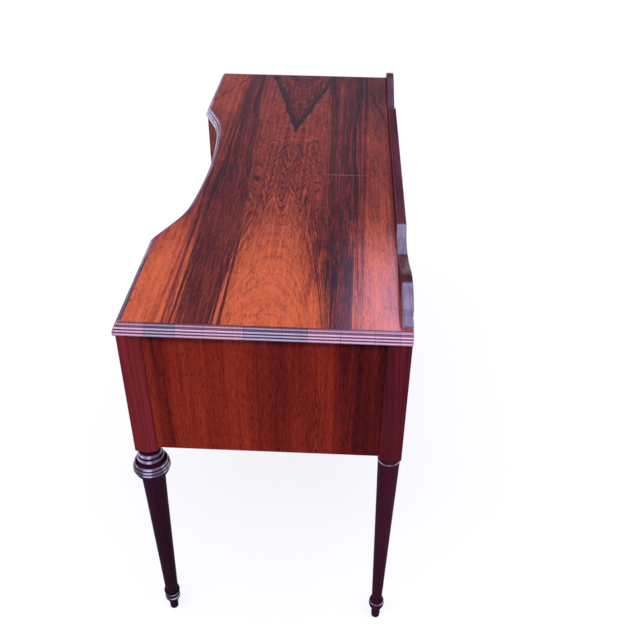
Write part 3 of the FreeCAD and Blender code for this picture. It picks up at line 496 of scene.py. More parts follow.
class Graph:
    """Short calls that add and join the nodes of one node tree."""

    def __init__(self, tree: bpy.types.NodeTree) -> None:
        """Keep the tree."""
        self.tree = tree

    def feed(self, socket: bpy.types.NodeSocket, value: object) -> None:
        """Link or set one input.

        Args:
            socket: the input.
            value: a signal or socket to link, a value to set, or None to leave it.
        """
        source = value.socket if isinstance(value, Signal) else value
        if isinstance(source, bpy.types.NodeSocket):
            self.tree.links.new(source, socket)
        elif value is not None:
            socket.default_value = value

    def place(self) -> list[Signal]:
        """The X, Y and Z of Object coordinates, as three sockets."""
        coordinate = self.tree.nodes.new("ShaderNodeTexCoord")
        return self.parts(coordinate.outputs["Object"])

    def lay(self, layer: str) -> list[Signal]:
        """The two coordinates of a UV layer, and an unused third.

        Args:
            layer: the UV layer's name.

        Returns:
            The three signals.
        """
        node = self.tree.nodes.new("ShaderNodeUVMap")
        node.uv_map = layer
        return self.parts(node.outputs["UV"])

    def parts(self, vector: bpy.types.NodeSocket) -> list[Signal]:
        """A vector's three numbers.

        Args:
            vector: the socket that gives the vector.

        Returns:
            The three signals.
        """
        node = self.tree.nodes.new("ShaderNodeSeparateXYZ")
        self.feed(node.inputs[0], vector)
        return [Signal(self, socket) for socket in node.outputs]

    def vector(self, x: Value = 0.0, y: Value = 0.0, z: Value = 0.0) -> Signal:
        """A vector from three numbers.

        Args:
            x: the first number.
            y: the second.
            z: the third.

        Returns:
            The vector.
        """
        node = self.tree.nodes.new("ShaderNodeCombineXYZ")
        for socket, value in zip(node.inputs, (x, y, z)):
            self.feed(socket, value)
        return Signal(self, node.outputs[0])

    def math(self, operation: str, first: Value, second: Value = 0.0, third: Value = 0.0) -> Signal:
        """One step of arithmetic.

        Args:
            operation: the node's operation.
            first: its first number.
            second: its second.
            third: its third.

        Returns:
            The result.
        """
        node = self.tree.nodes.new("ShaderNodeMath")
        node.operation = operation
        for socket, value in zip(node.inputs, (first, second, third)):
            self.feed(socket, value)
        return Signal(self, node.outputs[0])

    def step(self, value: Value, low: float, high: float) -> Signal:
        """A smooth step from 0 at low to 1 at high, which may run downwards.

        Args:
            value: what is compared.
            low: where the step is 0.
            high: where it is 1.

        Returns:
            The step.
        """
        node = self.tree.nodes.new("ShaderNodeMapRange")
        node.interpolation_type = "SMOOTHSTEP"
        rising = low < high
        self.feed(node.inputs["Value"], value)
        self.feed(node.inputs["From Min"], low if rising else high)
        self.feed(node.inputs["From Max"], high if rising else low)
        self.feed(node.inputs["To Min"], 0.0 if rising else 1.0)
        self.feed(node.inputs["To Max"], 1.0 if rising else 0.0)
        return Signal(self, node.outputs["Result"])

    def spread(self, value: Value, low: float, high: float) -> Signal:
        """A noise's 0 to 1 stretched to run from low to high."""
        return self.math("MULTIPLY_ADD", value, high - low, low)

    def noise(
        self, vector: Signal, scale: float = 1.0, detail: float = 2.0, rough: float = 0.5
    ) -> Signal:
        """A smooth noise of about 0.2 to 0.8.

        Args:
            vector: where it is read.
            scale: how fine it is.
            detail: how many octaves it has.
            rough: how strong the finer ones are.

        Returns:
            The noise.
        """
        node = self.tree.nodes.new("ShaderNodeTexNoise")
        self.feed(node.inputs["Vector"], vector)
        self.feed(node.inputs["Scale"], scale)
        self.feed(node.inputs["Detail"], detail)
        self.feed(node.inputs["Roughness"], rough)
        return Signal(self, node.outputs["Fac"])

    def grain(self, x: Value, y: Value, z: Value, detail: float = 2.0, rough: float = 0.5) -> Signal:
        """A smooth noise of about 0.2 to 0.8, read at a place."""
        return self.noise(self.vector(x, y, z), 1.0, detail, rough)

    def speckle(self, vector: Signal) -> Signal:
        """A random number for each whole-numbered cell.

        Args:
            vector: the cell.

        Returns:
            The number, from 0 to 1.
        """
        node = self.tree.nodes.new("ShaderNodeTexWhiteNoise")
        node.noise_dimensions = "3D"
        self.feed(node.inputs["Vector"], vector)
        return Signal(self, node.outputs["Value"])

    def mix(self, share: Value, first: object, second: object) -> Signal:
        """Two colours mixed.

        Args:
            share: how much there is of the second colour.
            first: the first colour.
            second: the second colour.

        Returns:
            The mixed colour.
        """
        node = self.tree.nodes.new("ShaderNodeMix")
        node.data_type = "RGBA"
        self.feed(node.inputs["Factor"], share)
        for name, value in (("A", first), ("B", second)):
            socket = next(item for item in node.inputs if item.name == name and item.type == "RGBA")
            self.feed(socket, (*value, 1.0) if isinstance(value, tuple) else value)
        return Signal(self, next(item for item in node.outputs if item.type == "RGBA"))

    def ramp(self, value: Value, stops: Sequence[tuple[float, Colour]]) -> Signal:
        """A colour for each value, from a few stops.

        Args:
            value: the place on the ramp.
            stops: the ramp's places and their colours.

        Returns:
            The colour.
        """
        node = self.tree.nodes.new("ShaderNodeValToRGB")
        elements = node.color_ramp.elements
        while len(elements) < len(stops):
            elements.new(0.5)
        for element, (position, colour) in zip(elements, stops):
            element.position = position
            element.color = (*colour, 1.0)
        self.feed(node.inputs["Fac"], value)
        return Signal(self, node.outputs["Color"])

    def line(self, value: Value, place: Value, width: float) -> Signal:
        """1 where a value lies at a place and 0 a width away from it."""
        off = self.math("ABSOLUTE", value - place)
        return self.step(off, width, width * 0.35)

    def vary(self, noise: Value, amount: float) -> Signal:
        """Noise stretched to run from minus to plus an amount."""
        return self.spread(self.step(noise, 0.27, 0.73), -amount, amount)

    def either(self, side: Value, first: Value, second: Value) -> Signal:
        """First where side is 0 and second where it is 1."""
        return first + side * (second - first)

    def inside(self, value: Value, low: float, high: float, soft: float) -> Signal:
        """1 between two places and 0 outside them, with soft ends."""
        return self.step(value, low - soft, low + soft) * self.step(value, high + soft, high - soft)

    def bump(self, height: Value, strength: float, distance: float) -> Signal:
        """A normal from a height.

        Args:
            height: how high the surface stands.
            strength: how strong the bumps are.
            distance: how far a height of 1 stands out.

        Returns:
            The normal.
        """
        node = self.tree.nodes.new("ShaderNodeBump")
        self.feed(node.inputs["Strength"], strength)
        self.feed(node.inputs["Distance"], distance)
        self.feed(node.inputs["Height"], height)
        return Signal(self, node.outputs["Normal"])


@dataclass(frozen=True)
class Gloss:
    """A polish: how much there is, how dull and how dense it is, and how much the wood itself shines."""

    weight: float
    roughness: float
    ior: float
    body: float = 0.05


class MaterialGraph(Graph):
    """The nodes of one new material."""

    def __init__(self, name: str) -> None:
        """Start a material with nothing in it but its shader and its output.

        Args:
            name: the material's name.
        """
        self.material = bpy.data.materials.new(name)
        self.material.use_nodes = True
        super().__init__(self.material.node_tree)
        self.tree.nodes.clear()
        self.output = self.tree.nodes.new("ShaderNodeOutputMaterial")
        self.shader = self.tree.nodes.new("ShaderNodeBsdfPrincipled")
        self.tree.links.new(self.shader.outputs["BSDF"], self.output.inputs["Surface"])

    def polish(
        self, colour: object, roughness: Value, gloss: Gloss, normal: object = None, share: Value = 1.0
    ) -> bpy.types.Material:
        """Finish the material as polished wood.

        Args:
            colour: the wood's colour.
            roughness: the roughness of the wood under its polish.
            gloss: the polish that lies on it.
            normal: the surface's bumps, or None.
            share: how much of the polish lies here.

        Returns:
            The material.
        """
        self.feed(self.shader.inputs["Base Color"], colour)
        self.feed(self.shader.inputs["Roughness"], roughness)
        self.feed(self.shader.inputs["Specular IOR Level"], gloss.body)
        weight = gloss.weight if share == 1.0 else share * gloss.weight
        self.feed(self.shader.inputs["Coat Weight"], weight)
        self.feed(self.shader.inputs["Coat Roughness"], gloss.roughness)
        self.feed(self.shader.inputs["Coat IOR"], gloss.ior)
        self.feed(self.shader.inputs["Normal"], normal)
        return self.material


FULL_POLISH = Gloss(1.0, 0.05, 1.5, 0.0)
EDGE_POLISH = Gloss(1.0, 0.05, 1.55, 0.0)
LEG_POLISH = Gloss(1.0, 0.05, 1.5, 0.0)
PANEL_POLISH = Gloss(0.12, 0.16, 1.25, 0.0)
GALLERY_POLISH = Gloss(0.40, 0.16, 1.45, 0.0)
BARE_WOOD = Gloss(0.0, 0.3, 1.5, 0.15)


@dataclass(frozen=True)
class Palette:
    """The four colours of one rosewood, from its black lines to its lightest field."""

    black: Colour
    dark: Colour
    red: Colour
    bright: Colour

    def stops(self) -> tuple[tuple[float, Colour], ...]:
        """The colours at their places on a lightness from 0 to 1."""
        return ((0.04, self.black), (0.27, self.dark), (0.54, self.red), (0.93, self.bright))


TOP_PALETTE = Palette(
    (0.012, 0.003, 0.003), (0.074, 0.009, 0.008), (0.205, 0.03, 0.016), (0.56, 0.112, 0.034)
)
PANEL_PALETTE = Palette(
    (0.014, 0.002, 0.003), (0.058, 0.005, 0.005), (0.146, 0.0125, 0.0065), (0.27, 0.032, 0.01)
)
POST_PALETTE = Palette(
    (0.024, 0.003, 0.005), (0.074, 0.006, 0.01), (0.165, 0.017, 0.015), (0.28, 0.036, 0.028)
)
TURNED_PALETTE = Palette(
    (0.003, 0.001, 0.003), (0.01, 0.0012, 0.006), (0.028, 0.0025, 0.012), (0.06, 0.006, 0.018)
)
GALLERY_PALETTE = Palette(
    (0.006, 0.002, 0.003), (0.02, 0.004, 0.007), (0.05, 0.009, 0.014), (0.11, 0.022, 0.028)
)
BAND_PALETTE = Palette(
    (0.01, 0.003, 0.008), (0.026, 0.007, 0.017), (0.08, 0.022, 0.038), (0.24, 0.08, 0.115)
)

# Painted light: the colours of reflections, mixed into the wood where one would lie.
PAINTED_GREY: Colour = (0.60, 0.50, 0.68)
PAINTED_PINK: Colour = (0.74, 0.43, 0.56)
PAINTED_SHINE: Colour = (0.48, 0.47, 0.66)

INK: Colour = (0.010, 0.007, 0.006)


@dataclass(frozen=True)
class TopVeneer:
    """Book-matched rosewood veneer with a jagged black chevron, a cathedral and a zigzag heart.

    The two leaves mirror each other about a joint that runs lengthwise.  Distances are in metres, x is
    measured from the middle of the desk towards the sitter's right, and a leaf is measured from the joint.

    Attributes:
        joint: Y of the joint between the leaves.
        heart_width: how far the heart's figure reaches from the joint.
        line_pitch: how far apart the dark lines lie across the heart.
        chevron_tip: X of the chevron's point.
        chevron_slope: how fast its arms open towards the left end.
    """

    joint: float = 0.006
    heart_width: float = 0.079
    line_pitch: float = 0.039
    chevron_tip: float = -0.192
    chevron_slope: float = 0.222

    def build(self) -> bpy.types.Material:
        """Make the material.

        Returns:
            The material.
        """
        graph = MaterialGraph("figured_top_veneer")
        x, y, _ = graph.place()
        off = y - self.joint
        side = graph.step(off, -0.002, 0.002)
        leaf = graph.math("ABSOLUTE", off)
        wander = graph.grain(x * 3.0, leaf * 12.0, side, 2.0)
        waved = leaf + graph.vary(wander, 0.006)
        across = self.across_band(graph, x, waved, side)
        feather = graph.grain(x * 2.2, leaf * 170.0, side, 2.0, 0.6)
        streaky = graph.spread(graph.step(x, -0.05, 0.40), 0.04, 0.24)
        across = across + graph.vary(feather, 1.0) * streaky
        band = graph.inside(across, 0.0, 1.0, 0.12)
        outer = graph.step(across, 0.40, 0.60)
        heart = self.heart(graph, x, leaf, side)
        field_tone = self.outer_tone(graph, x, leaf, across, side)
        value = graph.either(outer, self.heart_tone(graph, x, leaf, heart), field_tone)
        value = graph.either(band, value, self.band_tone(graph, x, across))
        value = value + (self.fibre(graph, x, y) + self.swirl(graph, x, leaf, side))
        colour = graph.ramp(value, TOP_PALETTE.stops())
        inner = (1.0 - outer) * (1.0 - band)
        hair = self.heart_lines(graph, x, leaf, heart) * (inner * 0.82)
        colour = graph.mix(hair, colour, TOP_PALETTE.black)
        ink = graph.math("MAXIMUM", self.band_lines(graph, x, across), self.chevron(graph, x, leaf))
        ink = graph.math("MAXIMUM", ink, self.outer_loop(graph, x, leaf, side))
        colour = graph.mix(ink, colour, INK)
        # Painted shade: a reddened strip along the foot of the gallery.
        foot = graph.step(y, 0.22, 0.2235) * graph.inside(x, -0.6, 0.6, 0.01)
        colour = graph.mix(foot * 0.65, colour, TOP_PALETTE.red)
        crack = graph.line(x, 0.038, 0.0012) * graph.inside(y, 0.083, 0.178, 0.004)
        colour = graph.mix(crack * 0.22, colour, (0.7, 0.5, 0.36))
        pores = self.pores(graph, x, y)
        colour = graph.mix(pores * 0.68, colour, TOP_PALETTE.black)
        normal = graph.bump(-pores, 0.04, 0.0002)
        return graph.polish(colour, graph.spread(pores, 0.34, 0.5), FULL_POLISH, normal)

    def across_band(self, graph: Graph, x: Value, leaf: Value, side: Value) -> Signal:
        """Where a place lies across its leaf's dark band: 0 at the inner line and 1 at the outer one.

        Args:
            graph: the material's nodes.
            x: X of the place.
            leaf: how far the place lies from the joint.
            side: 0 in front of the joint and 1 behind it.

        Returns:
            The place, from 0 to 1 within the band.
        """
        curve = graph.math("MULTIPLY_ADD", x * 0.018 - 0.036, x, 0.0845)
        inner = graph.either(side, curve, graph.math("MULTIPLY_ADD", x, 0.0225, 0.0895))
        outer = graph.either(side, 0.1385, graph.math("MULTIPLY_ADD", x, -0.007, 0.142))
        return (leaf - inner) / (outer - inner)

    def heart(self, graph: Graph, x: Value, leaf: Value, side: Value) -> Signal:
        """The growth surface cut by the heart: X along the joint, falling away steeply beside it.

        Its level lines are long loops that open towards the right end and zigzag across the heart.

        Args:
            graph: the material's nodes.
            x: X of the place.
            leaf: how far the place lies from the joint.
            side: 0 in front of the joint and 1 behind it.

        Returns:
            The growth surface's height.
        """
        wobble = graph.grain(x * 4.0, leaf * 12.0, side, 1.0)
        tooth = graph.math("PINGPONG", leaf * 34.0 + graph.vary(wobble, 0.34), 0.5)
        swell = graph.grain(x * 5.0, leaf * 90.0, 4.0, 2.0, 0.55)
        patch = graph.inside(x, -0.11, 0.23, 0.05) * graph.step(leaf, 0.094, 0.08)
        zigzag = graph.spread(tooth, -0.042, 0.126) + graph.vary(swell, 0.013)
        power = graph.spread(graph.step(x, 0.08, 0.30), 7.0, 3.0)
        reach = graph.math("POWER", leaf / self.heart_width, power)
        slow = graph.grain(x * 3.5, leaf * 14.0, 9.0, 1.0)
        base = x + reach * -0.24 + graph.vary(slow, 0.018)
        return base + zigzag * patch

    def heart_lines(self, graph: Graph, x: Value, leaf: Value, heart: Value) -> Signal:
        """Thin dark lines along the heart's level lines, some faint and some strong.

        Args:
            graph: the material's nodes.
            x: X of the place.
            leaf: how far the place lies from the joint.
            heart: the growth surface at the place.

        Returns:
            How dark the lines are, from 0 to 1.
        """
        uneven = graph.grain(heart * 6.0, leaf * 9.0, 2.0, 1.0)
        paced = heart / self.line_pitch + graph.vary(uneven, 0.42)
        middle = graph.math("ABSOLUTE", graph.math("FRACT", paced) - 0.5)
        width = graph.spread(graph.step(heart, 0.16, 0.30), 0.16, 0.04)
        line = graph.step(middle / width, 1.0, 0.35)
        beyond = graph.step(x, 0.12, 0.24)
        line = line * graph.math("MAXIMUM", graph.step(leaf, 0.081, 0.07), beyond)
        arms = graph.step(leaf, 0.044, 0.064) * beyond
        fine = graph.grain(heart * 46.0, x * 0.8, 6.0, 2.0, 0.7)
        streak = graph.step(fine, 0.48, 0.36)
        drawn_line = graph.math("MAXIMUM", line, streak * graph.spread(arms, 0.3, 0.9))
        faint = graph.grain(x * 9.0, leaf * 30.0, 8.0, 1.0)
        place = graph.step(heart, -0.17, -0.11) * graph.spread(graph.step(heart, 0.14, 0.32), 1.0, 0.3)
        return drawn_line * graph.step(faint, 0.12, 0.38) * place

    def heart_tone(self, graph: Graph, x: Value, leaf: Value, heart: Value) -> Signal:
        """The lightness of the heart: a cathedral lighter at the right, painted light on the right end, and
        dim wood inside the chevron.

        Args:
            graph: the material's nodes.
            x: X of the place.
            leaf: how far the place lies from the joint.
            heart: the growth surface at the place.

        Returns:
            The lightness.
        """
        lighter = graph.step(heart, 0.04, 0.42)
        # Painted light: the right end is made lighter, as if lit.
        near = graph.step(x, 0.16, 0.56)
        level = 0.5 + lighter * 0.21 + near * 0.19
        within = self.within_chevron(graph, x, leaf)
        level = level + within * -0.16
        flame = graph.grain(heart * 42.0, leaf * 30.0, 4.0, 3.0, 0.7)
        streaks = graph.grain(x * 2.6, leaf * 160.0, 4.0, 3.0, 0.62)
        mottle = graph.grain(x * 26.0, leaf * 70.0, 7.0, 3.0, 0.6)
        varied = graph.vary(streaks, 0.11) + graph.vary(flame, 0.09)
        mottled = graph.vary(mottle, 1.0) * graph.spread(within, 0.05, 0.16)
        return level + (varied + mottled)

    def band_tone(self, graph: Graph, x: Value, across: Value) -> Signal:
        """The lightness of the dark bands, striped along the grain, with painted light making them a little
        lighter towards the right end.

        Args:
            graph: the material's nodes.
            x: X of the place.
            across: where the place lies across the dark band.

        Returns:
            The lightness.
        """
        broad = graph.grain(x * 1.4, across * 4.0, 1.0, 3.0, 0.6)
        fine = graph.grain(x * 3.2, across * 24.0, 5.0, 2.0, 0.6)
        cloud = graph.grain(x * 9.0, across * 3.0, 8.0, 2.0, 0.6)
        stripes = graph.vary(broad, 0.15) + graph.vary(fine, 0.13) + graph.vary(cloud, 0.07)
        # Painted light: a little lighter towards the right end.
        return 0.29 + graph.step(x, 0.0, 0.55) * 0.06 + stripes

    def outer_tone(
        self, graph: Graph, x: Value, leaf: Value, across: Value, side: Value
    ) -> Signal:
        """The lightness of the outer field: striped beside the band, with painted light making the right end
        lighter.

        Args:
            graph: the material's nodes.
            x: X of the place.
            leaf: how far the place lies from the joint.
            across: where the place lies across the dark band.
            side: 0 in front of the joint and 1 behind it.

        Returns:
            The lightness.
        """
        # Painted light: the right end is lighter, as if lit.
        level = 0.5 + graph.step(x, 0.12, 0.48) * 0.37
        far = graph.step(x, -0.20, -0.42)
        level = level + far * graph.either(side, 0.08, -0.19)
        edge = graph.step(across, 1.80, 1.05)
        streaks = graph.grain(x * 1.8, leaf * 150.0, 3.0, 3.0, 0.62)
        shade = edge * graph.spread(graph.step(streaks, 0.6, 0.42), -0.03, -0.34)
        wave = graph.grain(x * 7.0, leaf * 26.0, 12.0, 2.0)
        calm = graph.vary(streaks, 0.08) + graph.vary(wave, 0.08)
        return level + shade + calm

    def swirl(self, graph: Graph, x: Value, leaf: Value, side: Value) -> Signal:
        """A dim mottled patch beside the gallery leaf's band.

        Args:
            graph: the material's nodes.
            x: X of the place.
            leaf: how far the place lies from the joint.
            side: 0 in front of the joint and 1 behind it.

        Returns:
            What the patch adds to the lightness.
        """
        cloud = graph.grain(x * 13.0, leaf * 26.0, 17.0, 3.0, 0.65)
        place = graph.inside(x, 0.18, 0.5, 0.06) * graph.inside(leaf, 0.05, 0.15, 0.022)
        return place * side * graph.spread(graph.step(cloud, 0.36, 0.62), 0.0, -0.22)

    def fibre(self, graph: Graph, x: Value, y: Value) -> Signal:
        """Short slanting fibres, a little lighter and darker than the wood round them.

        Args:
            graph: the material's nodes.
            x: X of the place.
            y: Y of the place.

        Returns:
            What the fibres add to the lightness.
        """
        slant = y * 330.0 + x * 46.0
        near = graph.grain(x * 60.0, slant, 0.0, 2.0, 0.6)
        straight = graph.grain(x * 22.0, y * 620.0, 3.0, 2.0, 0.6)
        return graph.vary(near, 0.07) + graph.vary(straight, 0.09)

    def band_lines(self, graph: Graph, x: Value, across: Value) -> Signal:
        """The crisp black lines along both edges of each dark band, and thinner ones between them.

        Args:
            graph: the material's nodes.
            x: X of the place.
            across: where the place lies across the dark band.

        Returns:
            How dark they are, from 0 to 1.
        """
        edges = graph.math("MAXIMUM", graph.line(across, 0.0, 0.060), graph.line(across, 1.0, 0.050))
        soft = graph.grain(x * 5.0, across * 2.0, 5.0, 2.0)
        thin = graph.grain(x * 1.0, across * 8.0, 14.0, 2.0, 0.6)
        between = graph.line(thin, 0.5, 0.02) * graph.inside(across, -0.25, 1.3, 0.1)
        return graph.math("MAXIMUM", edges * graph.spread(soft, 0.3, 1.2), between * 0.62)

    def ridge(self, graph: Graph, x: Value, leaf: Value) -> Signal:
        """How far a place lies outside the chevron's line, with the line's jags in it.

        Args:
            graph: the material's nodes.
            x: X of the place.
            leaf: how far the place lies from the joint.

        Returns:
            The distance.
        """
        jag = graph.grain(x * 34.0, leaf * 80.0, 7.0, 3.0, 0.62)
        slant = (self.chevron_tip - x) * self.chevron_slope
        return leaf - slant + graph.vary(jag, 0.006)

    def within_chevron(self, graph: Graph, x: Value, leaf: Value) -> Signal:
        """1 between the chevron's arms and 0 outside them."""
        return graph.step(self.ridge(graph, x, leaf), 0.004, -0.010)

    def chevron(self, graph: Graph, x: Value, leaf: Value) -> Signal:
        """The black line of the chevron, which is sharp outside and feathers inwards.

        Args:
            graph: the material's nodes.
            x: X of the place.
            leaf: how far the place lies from the joint.

        Returns:
            How dark it is, from 0 to 1.
        """
        ridge = self.ridge(graph, x, leaf)
        ragged = graph.grain(x * 40.0, leaf * 160.0, 3.0, 3.0, 0.7)
        depth = ridge + graph.spread(ragged, -0.006, 0.02)
        line = graph.step(ridge, 0.0022, -0.0008) * graph.step(depth, -0.011, -0.001)
        far = graph.step(x, self.chevron_tip + 0.016, self.chevron_tip - 0.004)
        echo = graph.line(ridge + 0.02, 0.0, 0.0022) * graph.step(ragged, 0.5, 0.62)
        return graph.math("MAXIMUM", line * 0.95, echo * 0.5) * far

    def outer_loop(self, graph: Graph, x: Value, leaf: Value, side: Value) -> Signal:
        """The narrow black loops of the outer fields, closed towards the left end.

        Args:
            graph: the material's nodes.
            x: X of the place.
            leaf: how far the place lies from the joint.
            side: 0 in front of the joint and 1 behind it.

        Returns:
            How dark they are, from 0 to 1.
        """
        jag = graph.grain(x * 24.0, leaf * 50.0, 8.0, 3.0, 0.6)
        rise = graph.either(side, 0.40, 0.165)
        start = graph.either(side, 0.162, 0.168)
        arm = start + (x + 0.53) * rise
        ridge = leaf - arm + graph.vary(jag, 0.004)
        line = graph.step(ridge, -0.0014, 0.0002) * graph.step(ridge, 0.0065, 0.0012)
        ends = graph.inside(x, -0.56, -0.23, 0.03)
        zigzag = graph.grain(x * 38.0, leaf * 120.0, 21.0, 2.0)
        tangle = graph.line(zigzag, 0.5, 0.035) * graph.inside(leaf, 0.176, 0.196, 0.005)
        tangle = tangle * graph.inside(x, -0.06, 0.12, 0.02)
        return graph.math("MAXIMUM", line * ends * 0.88, tangle * 0.6)

    def pores(self, graph: Graph, x: Value, y: Value) -> Signal:
        """Short dark pores along the grain.

        Args:
            graph: the material's nodes.
            x: X of the place.
            y: Y of the place.

        Returns:
            How dark they are, from 0 to 1.
        """
        pores = graph.grain(x * 65.0, y * 950.0, 0.0, 1.0)
        patchy = graph.grain(x * 10.0, y * 45.0, 6.0, 2.0)
        return graph.step(pores, 0.53, 0.68) * graph.step(patchy, 0.3, 0.58)


@dataclass(frozen=True)
class EndVeneer:
    """Upright straight-grained veneer in two leaves, with a narrow cathedral in the rear one.

    Attributes:
        joint: Y of the joint between the leaves.
        cathedral: Y of the cathedral's centre line.
        cathedral_height: Z of its point.
    """

    joint: float = -0.003
    cathedral: float = 0.095
    cathedral_height: float = 0.66

    def build(self) -> bpy.types.Material:
        """Make the material.

        Returns:
            The material.
        """
        graph = MaterialGraph("end_panel_veneer")
        _, y, z = graph.place()
        rear = graph.step(y, self.joint - 0.0004, self.joint + 0.0004)
        swing = graph.grain(y * 6.0, z * 3.0, rear, 1.0)
        place = y + graph.spread(swing, -0.01, 0.01)
        broad = graph.grain(place * 34.0, z * 1.2, rear, 3.0, 0.6)
        fine = graph.grain(place * 240.0, z * 5.0, 4.0, 2.0, 0.6)
        value = graph.vary(broad, 0.11) + graph.vary(fine, 0.07)
        value = value + self.tone(graph, y, z, rear)
        ripple = graph.grain(y * 520.0, z * 46.0, 8.0, 2.0, 0.6)
        value = value + graph.vary(ripple, 0.09)
        colour = graph.ramp(value, PANEL_PALETTE.stops())
        flecks = graph.grain(y * 900.0, z * 75.0, 0.0, 1.0)
        fleck = graph.step(flecks, 0.54, 0.70)
        lines = graph.math("MAXIMUM", fleck * 0.62, self.cathedral_lines(graph, y, z))
        lines = graph.math("MAXIMUM", lines, graph.line(y, self.joint, 0.0007) * 0.55)
        colour = graph.mix(lines, colour, PANEL_PALETTE.black)
        normal = graph.bump(-fleck, 0.05, 0.0002)
        return graph.polish(colour, 0.42, PANEL_POLISH, normal)

    def tone(self, graph: Graph, y: Value, z: Value, rear: Value) -> Signal:
        """The broad lightness: dark streaks at both sides, a bright one, and darker wood behind the joint.

        Args:
            graph: the material's nodes.
            y: Y of the place.
            z: Z of the place.
            rear: 0 in front of the joint and 1 behind it.

        Returns:
            The lightness.
        """
        cloud = graph.grain(y * 9.0, z * 4.0, 11.0, 1.0)
        level = 0.6 + rear * -0.09 + graph.spread(cloud, -0.1, 0.1)
        front_streak = graph.inside(y, -0.176, -0.148, 0.008) * -0.2
        rear_streak = graph.step(y, 0.11, 0.15) * -0.24
        bright = graph.line(y, 0.117, 0.008) * 0.13
        # Painted shade: the top of the panel is dark under the moulding.
        eaves = graph.step(z, 0.722, 0.741) * -0.34
        level = level + eaves
        return level + front_streak + (rear_streak + bright)

    def cathedral_lines(self, graph: Graph, y: Value, z: Value) -> Signal:
        """Thin dark lines that close in narrow points above each other.

        Args:
            graph: the material's nodes.
            y: Y of the place.
            z: Z of the place.

        Returns:
            How dark they are, from 0 to 1.
        """
        aside = y - self.cathedral
        spread = graph.math("SQRT", graph.math("MULTIPLY_ADD", aside, aside, 0.000004))
        height = spread * 8.0 + z
        jag = graph.grain(y * 90.0, z * 22.0, 5.0, 2.0)
        paced = (height + graph.spread(jag, -0.016, 0.016)) * 30.0
        middle = graph.math("ABSOLUTE", graph.math("FRACT", paced) - 0.5)
        place = graph.step(height, self.cathedral_height + 0.03, self.cathedral_height - 0.01) * graph.step(
            spread, 0.02, 0.01
        )
        return graph.step(middle, 0.18, 0.05) * place * 0.75


@dataclass(frozen=True)
class GrainedFinish:
    """Straight-grained polished wood, with a cathedral figure where a heart is given.

    Attributes:
        name: the material's name.
        palette: its colours.
        along: the axis that the grain follows.
        across: the axis that the figure spreads over.
        third: the remaining axis, along which a solid's figure also changes.
        gloss: its polish.
        stripe: how many growth stripes go to a metre.
        contrast: how strong they are.
        level: the general lightness, from 0 to 1.
        heart: where the cathedral figure's centre line lies across, or None.
        below: a second palette for what lies under the height break_height, or None.
        break_height: where the second palette takes over.
        rings: the heights of turned ledges that are fully polished and carry a painted pale highlight.
        dull: how much polish lies off the ledges, so that little is mirrored there.
        below_shift: how much lighter the wood is under break_height, before it darkens to the foot.
        painted: the stretches along the grain that carry a painted pale reflection.
    """

    name: str
    palette: Palette
    along: Axis
    across: Axis
    third: Axis
    gloss: Gloss
    stripe: float = 40.0
    contrast: float = 1.0
    level: float = 0.55
    heart: float | None = None
    below: Palette | None = None
    break_height: float = 0.478
    rings: tuple[tuple[float, float], ...] = ()
    dull: float = 0.07
    below_shift: float = 0.0
    painted: tuple[tuple[float, float], ...] = ()

    def build(self) -> bpy.types.Material:
        """Make the material.

        Returns:
            The material.
        """
        graph = MaterialGraph(self.name)
        place = graph.place()
        along = place[self.along.value]
        across = place[self.across.value]
        third = place[self.third.value]
        ring = self.ring(graph, along, across)
        depth = third * (self.stripe * 0.6)
        broad = graph.grain(along * 1.3, ring * self.stripe, depth, 3.0, 0.6)
        fine = graph.grain(along * 4.0, ring * (self.stripe * 5.0), depth * 4.0, 2.0, 0.6)
        hair = graph.grain(along * 10.0, ring * 900.0, third * 600.0, 1.0)
        stripes = graph.spread(broad, -0.5, 0.5) + graph.spread(fine, -0.26, 0.26) + graph.spread(
            hair, -0.16, 0.16
        )
        value = stripes * self.contrast + self.level
        colour = graph.ramp(value, self.palette.stops())
        share = 1.0
        if self.below and self.rings:
            height = place[Axis.Z.value]
            low = graph.step(height, self.break_height + 0.003, self.break_height - 0.003)
            shift = graph.spread(graph.step(height, 0.05, 0.42), self.below_shift - 0.16, self.below_shift)
            colour = graph.mix(low, colour, graph.ramp(value + shift, self.below.stops()))
            ledge, crest = 0.0, 0.0
            for start, end in self.rings:
                ledge = graph.math("MAXIMUM", graph.inside(height, start, end, 0.0005), ledge)
                core = graph.line(height, (start + end) / 2.0, (end - start) * 0.62)
                crest = graph.math("MAXIMUM", core, crest)
            share = graph.spread(ledge, self.dull, 1.0)
            # Painted light: a pale colour is mixed into the middle of each ledge, unevenly.
            uneven = graph.grain(across * 44.0, third * 44.0, height, 1.0)
            colour = graph.mix(
                crest * graph.spread(graph.step(uneven, 0.4, 0.6), 0.1, 0.85), colour, PAINTED_SHINE
            )
        # Painted light: patches of the same pale colour.
        for start, end in self.painted:
            patchy = graph.grain(along * 30.0, third * 160.0, 3.0, 2.0)
            share_here = graph.inside(along, start, end, 0.004) * graph.spread(patchy, 0.05, 0.48)
            colour = graph.mix(share_here, colour, PAINTED_SHINE)
        pores = graph.grain(along * 90.0, across * 1300.0, third * 1300.0, 1.0)
        fleck = graph.step(pores, 0.58, 0.74)
        colour = graph.mix(fleck * 0.5, colour, self.palette.black)
        normal = graph.bump(-fleck, 0.06, 0.0002)
        return graph.polish(colour, graph.spread(fleck, 0.36, 0.52), self.gloss, normal, share)

    def ring(self, graph: Graph, along: Value, across: Value) -> Signal:
        """Distance from the tree's heart, bent by slow swings along the grain.

        Args:
            graph: the material's nodes.
            along: the coordinate along the grain.
            across: the coordinate across it.

        Returns:
            The distance.
        """
        swing = graph.grain(along * 2.4, across * 4.0, 1.0, 2.0)
        bent = across + graph.spread(swing, -0.016, 0.016)
        if self.heart is None:
            return bent
        side = bent - self.heart
        lift = graph.spread(graph.grain(along * 3.0, 0.0, 5.0, 1.0), 0.02, 0.1)
        return graph.math("SQRT", side * side + lift * lift)


